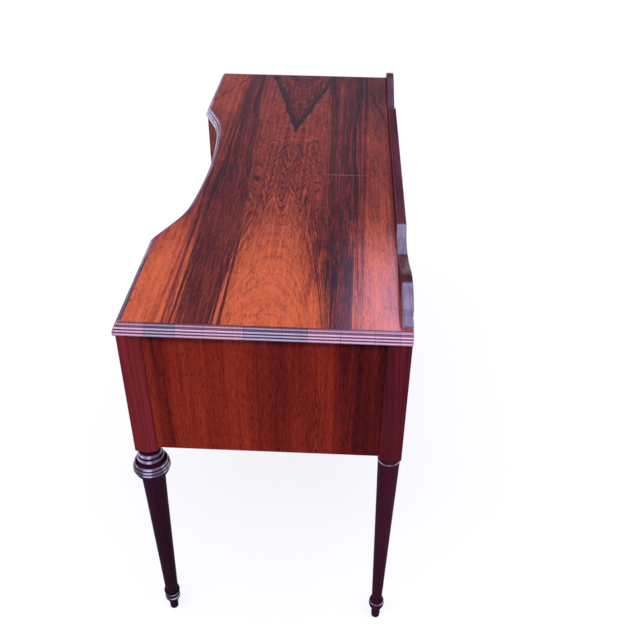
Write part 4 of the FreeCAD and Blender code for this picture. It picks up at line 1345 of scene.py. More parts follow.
@dataclass(frozen=True)
class CrossBanding:
    """Cross-grained veneer laid in short lengths along a moulding, read from the moulding's UV layer.

    Attributes:
        layer: the UV layer's name.
        length: the mean length of a stretch of veneer.
        base: the height of the moulding's underside.
        crests: the heights above it between which the reeds carry painted pale highlights.
    """

    layer: str = "banding"
    length: float = 0.052
    base: float = 0.740
    crests: tuple[tuple[float, float], ...] = (
        (0.0030, 0.0050), (0.0080, 0.0099), (0.0128, 0.0147), (0.0176, 0.0192),
    )

    def build(self) -> bpy.types.Material:
        """Make the material.

        Returns:
            The material.
        """
        graph = MaterialGraph("cross_banded_veneer")
        run, height, _ = graph.lay(self.layer)
        shift = graph.grain(run * 9.0, 0.0, 0.0, 0.0)
        paced = run / self.length + graph.spread(shift, -0.55, 0.55)
        cell = graph.math("FLOOR", paced)
        tint = graph.speckle(graph.vector(cell, 3.0, 1.0))
        lean = graph.spread(graph.speckle(graph.vector(cell, 7.0, 5.0)), -0.22, 0.22)
        within = graph.math("ABSOLUTE", graph.math("FRACT", paced) - 0.5)
        joint = graph.step(within, 0.490, 0.499)
        slant = run + height * lean
        grain = graph.grain(slant * 420.0, height * 14.0, cell, 3.0, 0.6)
        fibre = graph.grain(slant * 1500.0, height * 60.0, cell, 1.0)
        value = graph.vary(grain, 0.07) + graph.vary(fibre, 0.04) + graph.spread(tint, 0.34, 0.78)
        colour = graph.ramp(value, BAND_PALETTE.stops())
        painted = 0.0
        for start, end in self.crests:
            crest = graph.inside(height, self.base + start, self.base + end, 0.0004)
            painted = graph.math("MAXIMUM", crest, painted)
        pale = graph.mix(graph.step(tint, 0.10, 0.60), PAINTED_GREY, PAINTED_PINK)
        x, _, _ = graph.place()
        # Painted light: full at the right end, nearly full left of the middle and weak elsewhere.
        recess = graph.inside(x, -0.38, -0.22, 0.03) * 0.85
        shown = graph.math("MAXIMUM", graph.step(x, 0.592, 0.600), recess)
        painted = painted * graph.spread(tint, 0.5, 0.76) * graph.spread(shown, 0.28, 1.0)
        colour = graph.mix(painted, colour, pale)
        colour = graph.mix(joint * 0.8, colour, BAND_PALETTE.black)
        normal = graph.bump(-joint, 0.25, 0.0002)
        return graph.polish(colour, 0.36, EDGE_POLISH, normal)


@dataclass(frozen=True)
class Softwood:
    """Plain unpolished wood for what is hidden."""

    name: str
    along: Axis
    across: Axis
    light: Colour
    shade: Colour

    def build(self) -> bpy.types.Material:
        """Make the material.

        Returns:
            The material.
        """
        graph = MaterialGraph(self.name)
        place = graph.place()
        along, across = place[self.along.value], place[self.across.value]
        third = place[3 - self.along.value - self.across.value]
        swing = graph.grain(along * 2.0, across * 6.0, 2.0, 2.0)
        bent = across + graph.spread(swing, -0.012, 0.012)
        rings = graph.grain(along * 1.5, bent * 110.0, third * 60.0, 2.0)
        fibre = graph.grain(along * 30.0, across * 1100.0, third * 1100.0, 1.0)
        value = graph.step(rings, 0.35, 0.65) * 0.7 + fibre * 0.4
        colour = graph.ramp(value, ((0.1, self.light), (0.9, self.shade)))
        return graph.polish(colour, 0.55, BARE_WOOD, graph.bump(fibre, 0.15, 0.0002))


@dataclass(frozen=True)
class Brass:
    """Lacquered brass with brown clouds and spots."""

    bright: Colour = (0.80, 0.56, 0.24)
    tarnish: Colour = (0.30, 0.17, 0.07)

    def build(self) -> bpy.types.Material:
        """Make the material.

        Returns:
            The material.
        """
        graph = MaterialGraph("aged_brass")
        x, y, z = graph.place()
        cloud = graph.noise(graph.vector(x, y, z), 160.0, 4.0, 0.6)
        spots = graph.noise(graph.vector(x, y, z), 900.0, 2.0)
        dirt = graph.step(cloud, 0.45, 0.7) * graph.spread(spots, 0.3, 1.0)
        colour = graph.mix(dirt, self.bright, self.tarnish)
        graph.feed(graph.shader.inputs["Metallic"], 1.0)
        graph.feed(graph.shader.inputs["Base Color"], colour)
        graph.feed(graph.shader.inputs["Roughness"], graph.spread(dirt, 0.20, 0.42))
        return graph.material


@dataclass(frozen=True)
class Finishes:
    """Every material of the desk, built once."""

    top: bpy.types.Material = field(default_factory=lambda: TopVeneer().build())
    banding: bpy.types.Material = field(default_factory=lambda: CrossBanding().build())
    # The stretches of painted reflection on the gallery lie on its right half only.
    gallery: bpy.types.Material = field(
        default_factory=lambda: GrainedFinish(
            "gallery_rosewood", GALLERY_PALETTE, Axis.X, Axis.Z, Axis.Y, GALLERY_POLISH, 90.0, 1.1, 0.62,
            painted=((0.292, 0.369), (0.508, 0.610)),
        ).build()
    )
    legs: dict[str, bpy.types.Material] = field(
        default_factory=lambda: {
            row: GrainedFinish(
                f"turned_rosewood_{row}", POST_PALETTE, Axis.Z, Axis.Y, Axis.X, LEG_POLISH, 60.0, 0.7, level,
                below=TURNED_PALETTE, rings=rings, below_shift=shift,
            ).build()
            for row, level, rings, shift in (
                ("front", 0.47, FRONT_LEDGES, 0.0),
                ("rear", 0.21, REAR_LEDGES, 0.42),
            )
        }
    )
    end: bpy.types.Material = field(default_factory=lambda: EndVeneer().build())
    panel: bpy.types.Material = field(
        default_factory=lambda: GrainedFinish(
            "carcass_veneer", PANEL_PALETTE, Axis.Z, Axis.Y, Axis.X, PANEL_POLISH, 30.0, 0.8, 0.50, 0.12
        ).build()
    )
    front: bpy.types.Material = field(
        default_factory=lambda: GrainedFinish(
            "drawer_veneer", PANEL_PALETTE, Axis.X, Axis.Z, Axis.Y, PANEL_POLISH, 45.0, 1.0, 0.52, 0.60
        ).build()
    )
    rail: bpy.types.Material = field(
        default_factory=lambda: GrainedFinish(
            "rail_veneer", PANEL_PALETTE, Axis.X, Axis.Z, Axis.Y, PANEL_POLISH, 60.0, 0.9, 0.40
        ).build()
    )
    lining: bpy.types.Material = field(
        default_factory=lambda: Softwood(
            "drawer_mahogany", Axis.Y, Axis.Z, (0.30, 0.105, 0.042), (0.20, 0.060, 0.024)
        ).build()
    )
    carcass: bpy.types.Material = field(
        default_factory=lambda: Softwood(
            "carcass_pine", Axis.Y, Axis.X, (0.42, 0.26, 0.12), (0.3, 0.16, 0.07)
        ).build()
    )
    brass: bpy.types.Material = field(default_factory=lambda: Brass().build())


# --- The recess over the knees ------------------------------------------------------------------------


@dataclass
class Recess:
    """The plan curve of the desk's swept front: a straight, a shoulder arc and a flat middle arc.

    Attributes:
        front: Y of the edge's foremost bead.
        offset: how far the curve is moved into the wood.
        half_width: X of the right cusp.
        depth: how far the middle lies behind the front.
        slope: the angle between the straight and the front.
        shoulder_radius: the shoulder arc's radius.
        middle_radius: the middle arc's radius.
        shoulder_steps: how many facets a swept shoulder has.
        middle_steps: how many facets the swept middle has.
    """

    front: float
    offset: float
    half_width: float = 0.324
    depth: float = 0.0586
    slope: float = math.radians(23.3)
    shoulder_radius: float = 0.265
    middle_radius: float = 1.720
    shoulder_steps: int = 12
    middle_steps: int = 28

    def __post_init__(self) -> None:
        """Lay the curve out."""
        self.shoulder = self.shoulder_radius + self.offset
        self.middle = self.middle_radius + self.offset
        self.centre = Vector((0.0, self.front + self.depth - self.middle_radius, 0.0))
        away = Vector((math.sin(self.slope), math.cos(self.slope), 0.0))
        self.run = Vector((-math.cos(self.slope), math.sin(self.slope), 0.0))
        self.cusp = Vector((self.half_width, self.front, 0.0)) + away * self.offset
        start = self.cusp - away * self.shoulder - self.centre
        reach = self.middle - self.shoulder
        along = start.dot(self.run)
        self.length = -along + math.sqrt(along * along - start.length_squared + reach * reach)
        self.straight_end = self.cusp + self.run * self.length
        self.shoulder_centre = self.straight_end - away * self.shoulder
        offset_line = self.shoulder_centre - self.centre
        self.middle_angle = math.atan2(offset_line.x, offset_line.y)
        self.shoulder_angle = self.slope - self.middle_angle

    @property
    def mitre(self) -> Vector:
        """The direction of the mitre at the right cusp, from the outer bead inwards."""
        return Vector((math.sin(self.slope / 2.0), math.cos(self.slope / 2.0), 0.0))

    def left(self, point: Vector) -> Vector:
        """A point of the right half on the left half."""
        return Vector((-point.x, point.y, point.z))

    def sweep(self, mesh: bmesh.types.BMesh, overrun: float) -> None:
        """Carry a closed loop, drawn as (across, up) in metres, round the whole curve from left to right.

        Across is measured from the curve towards the sitter.  The loop runs on past each cusp.

        Args:
            mesh: holds the loop alone, and then the swept tube.
            overrun: how far the tube runs past each cusp.
        """
        run = Vector((math.cos(self.slope), math.sin(self.slope), 0.0))
        toward = Vector((math.sin(self.slope), -math.cos(self.slope), 0.0))
        start = self.left(self.cusp) - run * overrun
        frame = Matrix((toward, UP, run)).transposed().to_4x4()
        mesh.transform(Matrix.Translation(start) @ frame)
        loop = mesh.verts[:] + mesh.edges[:]
        loop = self.push(mesh, loop, run * (overrun + self.length))
        loop = self.swing(
            mesh, loop, self.left(self.shoulder_centre), self.shoulder_angle, self.shoulder_steps
        )
        loop = self.swing(mesh, loop, self.centre, 2.0 * self.middle_angle, self.middle_steps)
        loop = self.swing(mesh, loop, self.shoulder_centre, self.shoulder_angle, self.shoulder_steps)
        self.push(mesh, loop, Vector((run.x, -run.y, 0.0)) * (overrun + self.length))

    def push(self, mesh: bmesh.types.BMesh, loop: list[object], shift: Vector) -> list[object]:
        """Extrude a loop in a straight line and return the new loop.

        Args:
            mesh: the bmesh that holds it.
            loop: its vertices and edges.
            shift: how far it moves.

        Returns:
            The new loop.
        """
        edges = [item for item in loop if isinstance(item, bmesh.types.BMEdge)]
        made = bmesh.ops.extrude_edge_only(mesh, edges=edges)["geom"]
        ahead = loop_of(made)
        verts = [item for item in ahead if isinstance(item, bmesh.types.BMVert)]
        bmesh.ops.translate(mesh, verts=verts, vec=shift)
        fresh = set(verts)
        return verts + [
            item for item in ahead
            if isinstance(item, bmesh.types.BMEdge) and item.verts[0] in fresh and item.verts[1] in fresh
        ]

    def swing(
        self, mesh: bmesh.types.BMesh, loop: list[object], centre: Vector, angle: float, steps: int
    ) -> list[object]:
        """Spin a loop clockwise about a centre and return the last loop.

        Args:
            mesh: the bmesh that holds it.
            loop: its vertices and edges.
            centre: the arc's centre.
            angle: the angle turned.
            steps: how many facets the arc has.

        Returns:
            The last loop.
        """
        spun = bmesh.ops.spin(
            mesh, geom=loop, cent=centre, axis=UP, dvec=Vector(), angle=-angle, steps=steps, use_merge=False,
            use_duplicate=False,
        )
        return loop_of(spun["geom_last"])

    def distance(self, point: Vector) -> float:
        """How far a point lies along the curve from the middle, to the right where positive.

        Args:
            point: the point.

        Returns:
            The distance.
        """
        ray = point - self.centre
        angle = math.atan2(abs(ray.x), ray.y)
        if angle <= self.middle_angle:
            return math.copysign(angle * self.middle, ray.x)
        bend = Vector((abs(point.x), point.y, 0.0)) - self.shoulder_centre
        turn = math.atan2(bend.x, bend.y) - self.middle_angle
        total = self.middle_angle * self.middle
        if turn <= self.shoulder_angle:
            return math.copysign(total + turn * self.shoulder, ray.x)
        flat = Vector((abs(point.x), point.y, 0.0)) - self.straight_end
        return math.copysign(total + self.shoulder_angle * self.shoulder - flat.dot(self.run), ray.x)


# --- The top --------------------------------------------------------------------------------------------


@dataclass
class DeskTop:
    """The veneered board, its five reeded mouldings and the gallery.

    Attributes:
        finishes: the desk's materials.
        edge_width: how wide the mouldings are in plan.
        corner: the radius of the mouldings' mitred corners.
        inner_arris: the radius of the gallery's arris towards the sitter.
        outer_arris: the radius of its rear one.
        layer: the banding's UV layer.
        rim_arris: the radius of the board's upper arris.
        face_up: the least upward part of a normal that still belongs to the top's face.
        steep: the least angle of an edge that counts as one of the gallery's arrises.
        end_strokes: the bearings of the strokes that round an end moulding's corner.
        front_strokes: the bearings of those that round a front moulding's.
        end_offset: where the end mouldings' veneer starts along its pattern.
        front_offset: where the front mouldings' veneer starts.
        front_overrun: how far a front moulding is drawn past its mitres.
        bow_overrun: how far the bowed moulding is drawn past its mitres.
    """

    finishes: Finishes
    edge_width: float = 0.014
    corner: float = 0.007
    inner_arris: float = 0.0018
    outer_arris: float = 0.0040
    layer: str = "banding"
    rim_arris: float = 0.0005
    face_up: float = 0.7
    steep: float = math.radians(60.0)
    end_strokes: tuple[float, ...] = (15.0, 30.0, 44.0)
    front_strokes: tuple[float, ...] = (46.0, 60.0, 75.0)
    end_offset: float = 0.7
    front_offset: float = 1.9
    front_overrun: float = 0.02
    bow_overrun: float = 0.03

    def __post_init__(self) -> None:
        """Read the top's place from the frame."""
        low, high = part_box("top_panel")
        self.half = high.x
        self.back = high.y
        self.base = low.z
        self.surface = high.z
        self.field_front = low.y
        self.front = low.y - self.edge_width
        self.curve = Recess(self.front, self.edge_width)

    def build(self) -> None:
        """Make every piece of the top."""
        self.board()
        for word, side in SIDES.items():
            self.end_moulding(word, side)
            self.front_moulding(word, side)
        self.bow()
        self.gallery()

    def board(self) -> None:
        """The veneered board, cut to the recess."""
        mesh = bmesh.new()
        curve = self.curve
        cusp = Vector((curve.half_width, self.front, 0.0)) + curve.mitre * (
            self.edge_width / math.cos(curve.slope / 2.0)
        )
        pen = Pen(mesh, Vector((self.half, self.back, 0.0)))
        pen.line(Vector((-self.half, self.back, 0.0)))
        pen.line(Vector((-self.half, self.field_front, 0.0)))
        pen.line(curve.left(cusp))
        pen.line(curve.left(curve.straight_end))
        pen.arc(curve.left(curve.shoulder_centre), -curve.shoulder_angle)
        pen.arc(curve.centre, -2.0 * curve.middle_angle)
        pen.arc(curve.shoulder_centre, -curve.shoulder_angle)
        pen.line(cusp)
        pen.line(Vector((self.half, self.field_front, 0.0)))
        pen.close()
        bmesh.ops.contextual_create(mesh, geom=mesh.edges[:])
        made = bmesh.ops.extrude_face_region(mesh, geom=mesh.faces[:])["geom"]
        lifted = [item for item in made if isinstance(item, bmesh.types.BMVert)]
        bmesh.ops.translate(mesh, verts=lifted, vec=UP * (self.surface - self.base))
        bmesh.ops.translate(mesh, verts=mesh.verts[:], vec=UP * self.base)
        bmesh.ops.recalc_face_normals(mesh, faces=mesh.faces[:])
        rim = [edge for edge in mesh.edges if all(vert.co.z > self.surface - WELD for vert in edge.verts)]
        round_edges(mesh, rim, self.rim_arris, 2)
        thing = piece("desk_top_board", mesh, Dress(self.finishes.top, "desk", "top_veneer", ("top_panel",)))
        thing.data.materials.append(self.finishes.rail)
        for face in thing.data.polygons:
            face.material_index = int(face.normal.z < self.face_up)

    def straight(self, place: Matrix, length: float, inset: float) -> bmesh.types.BMesh:
        """A straight run of the moulding with open ends.

        Args:
            place: takes (across, up, along) to the desk's own axes.
            length: the run's length.
            inset: how far the run starts behind its place.

        Returns:
            The new bmesh.
        """
        mesh = drawn(EDGE, True)
        mesh.transform(place @ Matrix.Translation((0.0, 0.0, -inset)))
        along = (place.to_3x3() @ UP) * (length + 2.0 * inset)
        made = bmesh.ops.extrude_edge_only(mesh, edges=mesh.edges[:])["geom"]
        verts = [item for item in made if isinstance(item, bmesh.types.BMVert)]
        bmesh.ops.translate(mesh, verts=verts, vec=along)
        return mesh

    def band(self, mesh: bmesh.types.BMesh, distance: object) -> None:
        """Lay the banding's UV layer: distance along the moulding, and height up it.

        Args:
            mesh: the moulding.
            distance: gives a point's distance along the moulding.
        """
        layer = mesh.loops.layers.uv.new(self.layer)
        for face in mesh.faces:
            for loop in face.loops:
                point = loop.vert.co
                loop[layer].uv = (distance(point), point.z)

    def round_corner(self, mesh: bmesh.types.BMesh, side: int, bearings: Iterable[float]) -> None:
        """Take a mitred corner down to a small radius in flat strokes.

        Args:
            mesh: the mitred moulding, closed.
            side: 1 at the right corner and -1 at the left one.
            bearings: the strokes' bearings in degrees, from the end's own direction towards the sitter.
        """
        centre = Vector((side * (self.half + self.edge_width - self.corner), self.front + self.corner, 0.0))
        for bearing in bearings:
            angle = math.radians(bearing)
            outward = Vector((side * math.cos(angle), -math.sin(angle), 0.0))
            cut_away(mesh, centre + outward * self.corner, outward)
            cap_and_turn(mesh)

    def end_moulding(self, word: str, side: int) -> None:
        """The moulding across one end, mitred at the front.

        Args:
            word: right or left.
            side: 1 at the right end and -1 at the left one.
        """
        place = Matrix(
            ((side, 0, 0, side * self.half), (0, 0, 1, self.front), (0, 1, 0, self.base), (0, 0, 0, 1))
        )
        mesh = self.straight(place, self.back - self.front, 0.0)
        corner = Vector((side * (self.half + self.edge_width), self.front, 0.0))
        cut_away(mesh, corner, Vector((-side, -1.0, 0.0)))
        cap_and_turn(mesh)
        self.round_corner(mesh, side, self.end_strokes)
        self.band(mesh, lambda point: point.y + self.end_offset * side)
        node = f"edge_end_{word}"
        piece(f"moulding_end_{word}", mesh, Dress(self.finishes.banding, "desk", "edge_veneer", (node,)))

    def front_moulding(self, word: str, side: int) -> None:
        """The straight front moulding of one pedestal, mitred at both ends.

        Args:
            word: right or left.
            side: 1 on the right and -1 on the left.
        """
        place = Matrix(((0, 0, side, 0.0), (-1, 0, 0, self.field_front), (0, 1, 0, self.base), (0, 0, 0, 1)))
        start = self.curve.half_width
        place = Matrix.Translation((side * start, 0.0, 0.0)) @ place
        mesh = self.straight(place, self.half + self.edge_width - start, self.front_overrun)
        corner = Vector((side * (self.half + self.edge_width), self.front, 0.0))
        cut_away(mesh, corner, Vector((side, 1.0, 0.0)))
        mitre = self.curve.mitre
        cut_away(mesh, Vector((side * start, self.front, 0.0)), Vector((-side * mitre.y, mitre.x, 0.0)))
        cap_and_turn(mesh)
        self.round_corner(mesh, side, self.front_strokes)
        self.band(mesh, lambda point: point.x + self.front_offset * side)
        node = f"edge_front_{word}"
        piece(f"moulding_front_{word}", mesh, Dress(self.finishes.banding, "desk", "edge_veneer", (node,)))

    def bow(self) -> None:
        """The moulding round the recess, mitred at both cusps."""
        mesh = drawn(EDGE, True)
        self.curve.sweep(mesh, self.bow_overrun)
        bmesh.ops.translate(mesh, verts=mesh.verts[:], vec=UP * self.base)
        mitre = self.curve.mitre
        for side in SIDES.values():
            point = Vector((side * self.curve.half_width, self.front, 0.0))
            cut_away(mesh, point, Vector((side * mitre.y, -mitre.x, 0.0)))
        cap_and_turn(mesh)
        self.band(mesh, self.curve.distance)
        piece("moulding_bow", mesh, Dress(self.finishes.banding, "desk", "edge_veneer", ("edge_bow",)))

    def raised(self, mesh: bmesh.types.BMesh, base: float) -> list[bmesh.types.BMEdge]:
        """The steep edges that don't lie in a level base.

        Args:
            mesh: the bmesh to look through.
            base: Z of the base.

        Returns:
            The edges.
        """
        return [
            edge for edge in mesh.edges
            if edge.calc_face_angle(0.0) > self.steep and max(vert.co.z for vert in edge.verts) > base + WELD
        ]

    def gallery(self) -> None:
        """The shaped upstand, rounded along both of its upper arrises."""
        low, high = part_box("back_gallery")
        mesh = drawn(GALLERY, False)
        bmesh.ops.mirror(mesh, geom=mesh.verts[:] + mesh.edges[:], matrix=Matrix(), merge_dist=WELD, axis="X")
        bmesh.ops.remove_doubles(mesh, verts=mesh.verts[:], dist=WELD)
        bmesh.ops.contextual_create(mesh, geom=mesh.edges[:])
        made = bmesh.ops.extrude_face_region(mesh, geom=mesh.faces[:])["geom"]
        lifted = [item for item in made if isinstance(item, bmesh.types.BMVert)]
        bmesh.ops.translate(mesh, verts=lifted, vec=UP * (high.y - low.y))
        mesh.transform(Matrix.Translation((0.0, high.y, low.z)) @ Matrix.Rotation(math.pi / 2.0, 4, "X"))
        bmesh.ops.recalc_face_normals(mesh, faces=mesh.faces[:])
        arris = [
            edge for edge in self.raised(mesh, low.z)
            if abs(edge.verts[0].co.y - edge.verts[1].co.y) < WELD
        ]
        middle = (low.y + high.y) / 2.0
        round_edges(mesh, [edge for edge in arris if edge.verts[0].co.y < middle], self.inner_arris, 3)
        outer = [
            edge for edge in self.raised(mesh, low.z)
            if min(vert.co.y for vert in edge.verts) > high.y - WELD
        ]
        round_edges(mesh, outer, self.outer_arris, 5)
        piece(
            "gallery_upstand",
            mesh,
            Dress(self.finishes.gallery, "desk", "gallery_rosewood", ("back_gallery",)),
        )


# --- Legs -----------------------------------------------------------------------------------------------


@dataclass
class TurnedLeg:
    """A leg turned from the square, with its post above.

    Attributes:
        row: front or rear.
        word: right or left.
        stations: the turned outline.
        finishes: the desk's materials.
        around: how many flats a turned round has.
        post_width: the post's width, which is also its depth.
        rounding: the radius of the post's arrises.
    """

    row: str
    word: str
    stations: Sequence[Station]
    finishes: Finishes
    around: int = 72
    post_width: float = 0.041
    rounding: float = 0.0045

    def __post_init__(self) -> None:
        """Read the leg's place from the frame."""
        self.node = f"{self.row}_leg_{self.word}"
        self.name = f"turned_leg_{self.row}_{self.word}"
        low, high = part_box(self.node)
        self.axis = (low + high) / 2.0
        self.top = high.z

    def post(self) -> bmesh.types.BMesh:
        """The square post with rounded arrises and its turned shoulder.

        Returns:
            The new bmesh.
        """
        half = self.post_width / 2.0
        foot = POMMEL[0].up * MM
        post = block((-half, -half, foot - 0.001), (half, half, self.top))
        upright = [edge for edge in post.edges if abs(edge.verts[0].co.z - edge.verts[1].co.z) > 0.01]
        round_edges(post, upright, self.rounding, 6)
        return boolean(post, turned(POMMEL, self.around), "INTERSECT")

    def build(self) -> None:
        """Make the leg."""
        mesh = merged(turned(self.stations, self.around), self.post())
        mesh.transform(Matrix.Translation((self.axis.x, self.axis.y, 0.0)))
        piece(self.name, mesh, Dress(self.finishes.legs[self.row], "desk", "turned_rosewood", (self.node,)))


# --- The carcass ----------------------------------------------------------------------------------------


@dataclass
class Carcass:
    """The fixed boards under the top.

    Attributes:
        finishes: the desk's materials.
        shown: the stems of the veneered boards that come in pairs.
        rails: the stems of the rails that come in pairs.
        centre_rails: the rails over the knees.
        hidden: the nodes that keep their CAD shape.
    """

    finishes: Finishes
    shown: tuple[str, ...] = ("end_panel", "pedestal_side", "back_panel")
    rails: tuple[str, ...] = ("top_rail", "divider_rail")
    centre_rails: tuple[str, ...] = ("centre_top_rail", "centre_bottom_rail")
    hidden: tuple[str, ...] = (
        "drawer_runners_right", "drawer_runners_left", "centre_runners", "drawer_kickers", "drawer_stops",
        "glue_blocks",
    )

    def build(self) -> None:
        """Ease the boards that show and dress the ones that don't."""
        panel, rail = self.finishes.panel, self.finishes.rail
        for word in SIDES:
            for stem in self.shown:
                node = f"{stem}_{word}"
                finish = self.finishes.end if stem == "end_panel" else panel
                eased_copy(f"{stem}_board_{word}", (node,), Dress(finish, "desk", "panel_veneer"))
            for stem in self.rails:
                node = f"{stem}_{word}"
                eased_copy(f"{stem}_strip_{word}", (node,), Dress(rail, "desk", "turned_rosewood"))
            bottom = f"pedestal_bottom_{word}"
            eased_copy(f"pedestal_floor_{word}", (bottom,), Dress(rail, "desk", "carcass_wood"))
        eased_copy("back_board_centre", ("back_panel_centre",), Dress(panel, "desk", "panel_veneer"))
        for stem in self.centre_rails:
            eased_copy(f"{stem}_strip", (stem,), Dress(rail, "desk", "turned_rosewood"))
        for node in self.hidden:
            dress_node(node, self.finishes.carcass)


def dress_node(node: str, finish: bpy.types.Material) -> None:
    """Give a CAD node that stays in view a better material."""
    for slot in bpy.data.objects[node].material_slots:
        slot.material = finish


# --- Drawers --------------------------------------------------------------------------------------------


@dataclass
class Drawer:
    """One drawer: its lining, front, knobs and lock.

    Attributes:
        name: the drawer's name in the frame.
        knobs: the frame's node of its knobs.
        locked: whether it has a lock.
        finishes: the desk's materials.
        knob_length: how far a knob's outline reaches, its spigot included.
        knob_radius: a knob's widest radius.
        knob_swing: how far the paired knobs turn towards each other.
        knob_around: how many flats a knob has round it.
        knob_smooth: the angle past which an edge of a knob stays sharp.
        pair_width: the least width of a node that holds two knobs.
    """

    name: str
    knobs: str
    locked: bool
    finishes: Finishes
    knob_length: float = 0.020
    knob_radius: float = 0.0085
    knob_swing: float = math.radians(4.3)
    knob_around: int = 40
    knob_smooth: float = math.radians(40.0)
    pair_width: float = 0.05

    def __post_init__(self) -> None:
        """Name the drawer's body."""
        self.body = f"{self.name}_drawer"

    def build(self) -> None:
        """Make the drawer's pieces."""
        for part in ("sides", "back", "bottom"):
            dress_node(f"drawer_{part}_{self.name}", self.finishes.lining)
        front = f"drawer_front_{self.name}"
        eased_copy(
            f"drawer_face_{self.name}", (front,), Dress(self.finishes.front, self.body, "drawer_veneer")
        )
        if self.locked:
            dress_node(f"drawer_lock_{self.name}", self.finishes.brass)
        self.add_knobs()

    def add_knobs(self) -> None:
        """The turned brass knobs, square to the face."""
        low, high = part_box(self.knobs)
        mesh = bmesh.new()
        wide = high.x - low.x > self.pair_width
        for side in (-1, 1) if wide else (0,):
            knob = turned(KNOB, self.knob_around)
            centre = (low.x + high.x) / 2.0 + side * ((high.x - low.x) / 2.0 - self.knob_radius)
            swing = -self.knob_swing * side
            knob.transform(
                Matrix.Translation((centre, low.y + self.knob_length, (low.z + high.z) / 2.0))
                @ Matrix.Rotation(swing, 4, "Z")
                @ Matrix.Rotation(math.pi / 2.0, 4, "X")
            )
            merged(mesh, knob)
        dress = Dress(self.finishes.brass, self.body, "brass", (self.knobs,))
        piece(f"brass_knobs_{self.name}", mesh, dress, self.knob_smooth)


# --- Studio ---------------------------------------------------------------------------------------------


@dataclass(frozen=True)
class Lamp:
    """One square area lamp: where it stands, what it faces, its edge length, radiance and colour."""

    name: str
    place: tuple[float, float, float]
    aim: tuple[float, float, float]
    size: float
    radiance: float
    colour: Colour

    def light(self) -> None:
        """Hang the lamp."""
        data = bpy.data.lights.new(self.name, "AREA")
        data.size = self.size
        data.energy = self.radiance * math.pi * self.size * self.size
        data.color = self.colour
        thing = bpy.data.objects.new(self.name, data)
        bpy.context.scene.collection.objects.link(thing)
        thing.location = self.place
        thing.rotation_euler = (Vector(self.aim) - Vector(self.place)).to_track_quat("-Z", "Y").to_euler()


LAMPS = (
    Lamp("softbox", (2.6, 0.1, 3.8), (0.3, 0.0, 0.6), 2.1, 1.2, (0.97, 0.94, 1.0)),
    Lamp("glint", (-2.57, -1.94, 1.74), (-0.32, -0.23, 0.75), 0.20, 16.0, (0.95, 0.95, 1.0)),
)


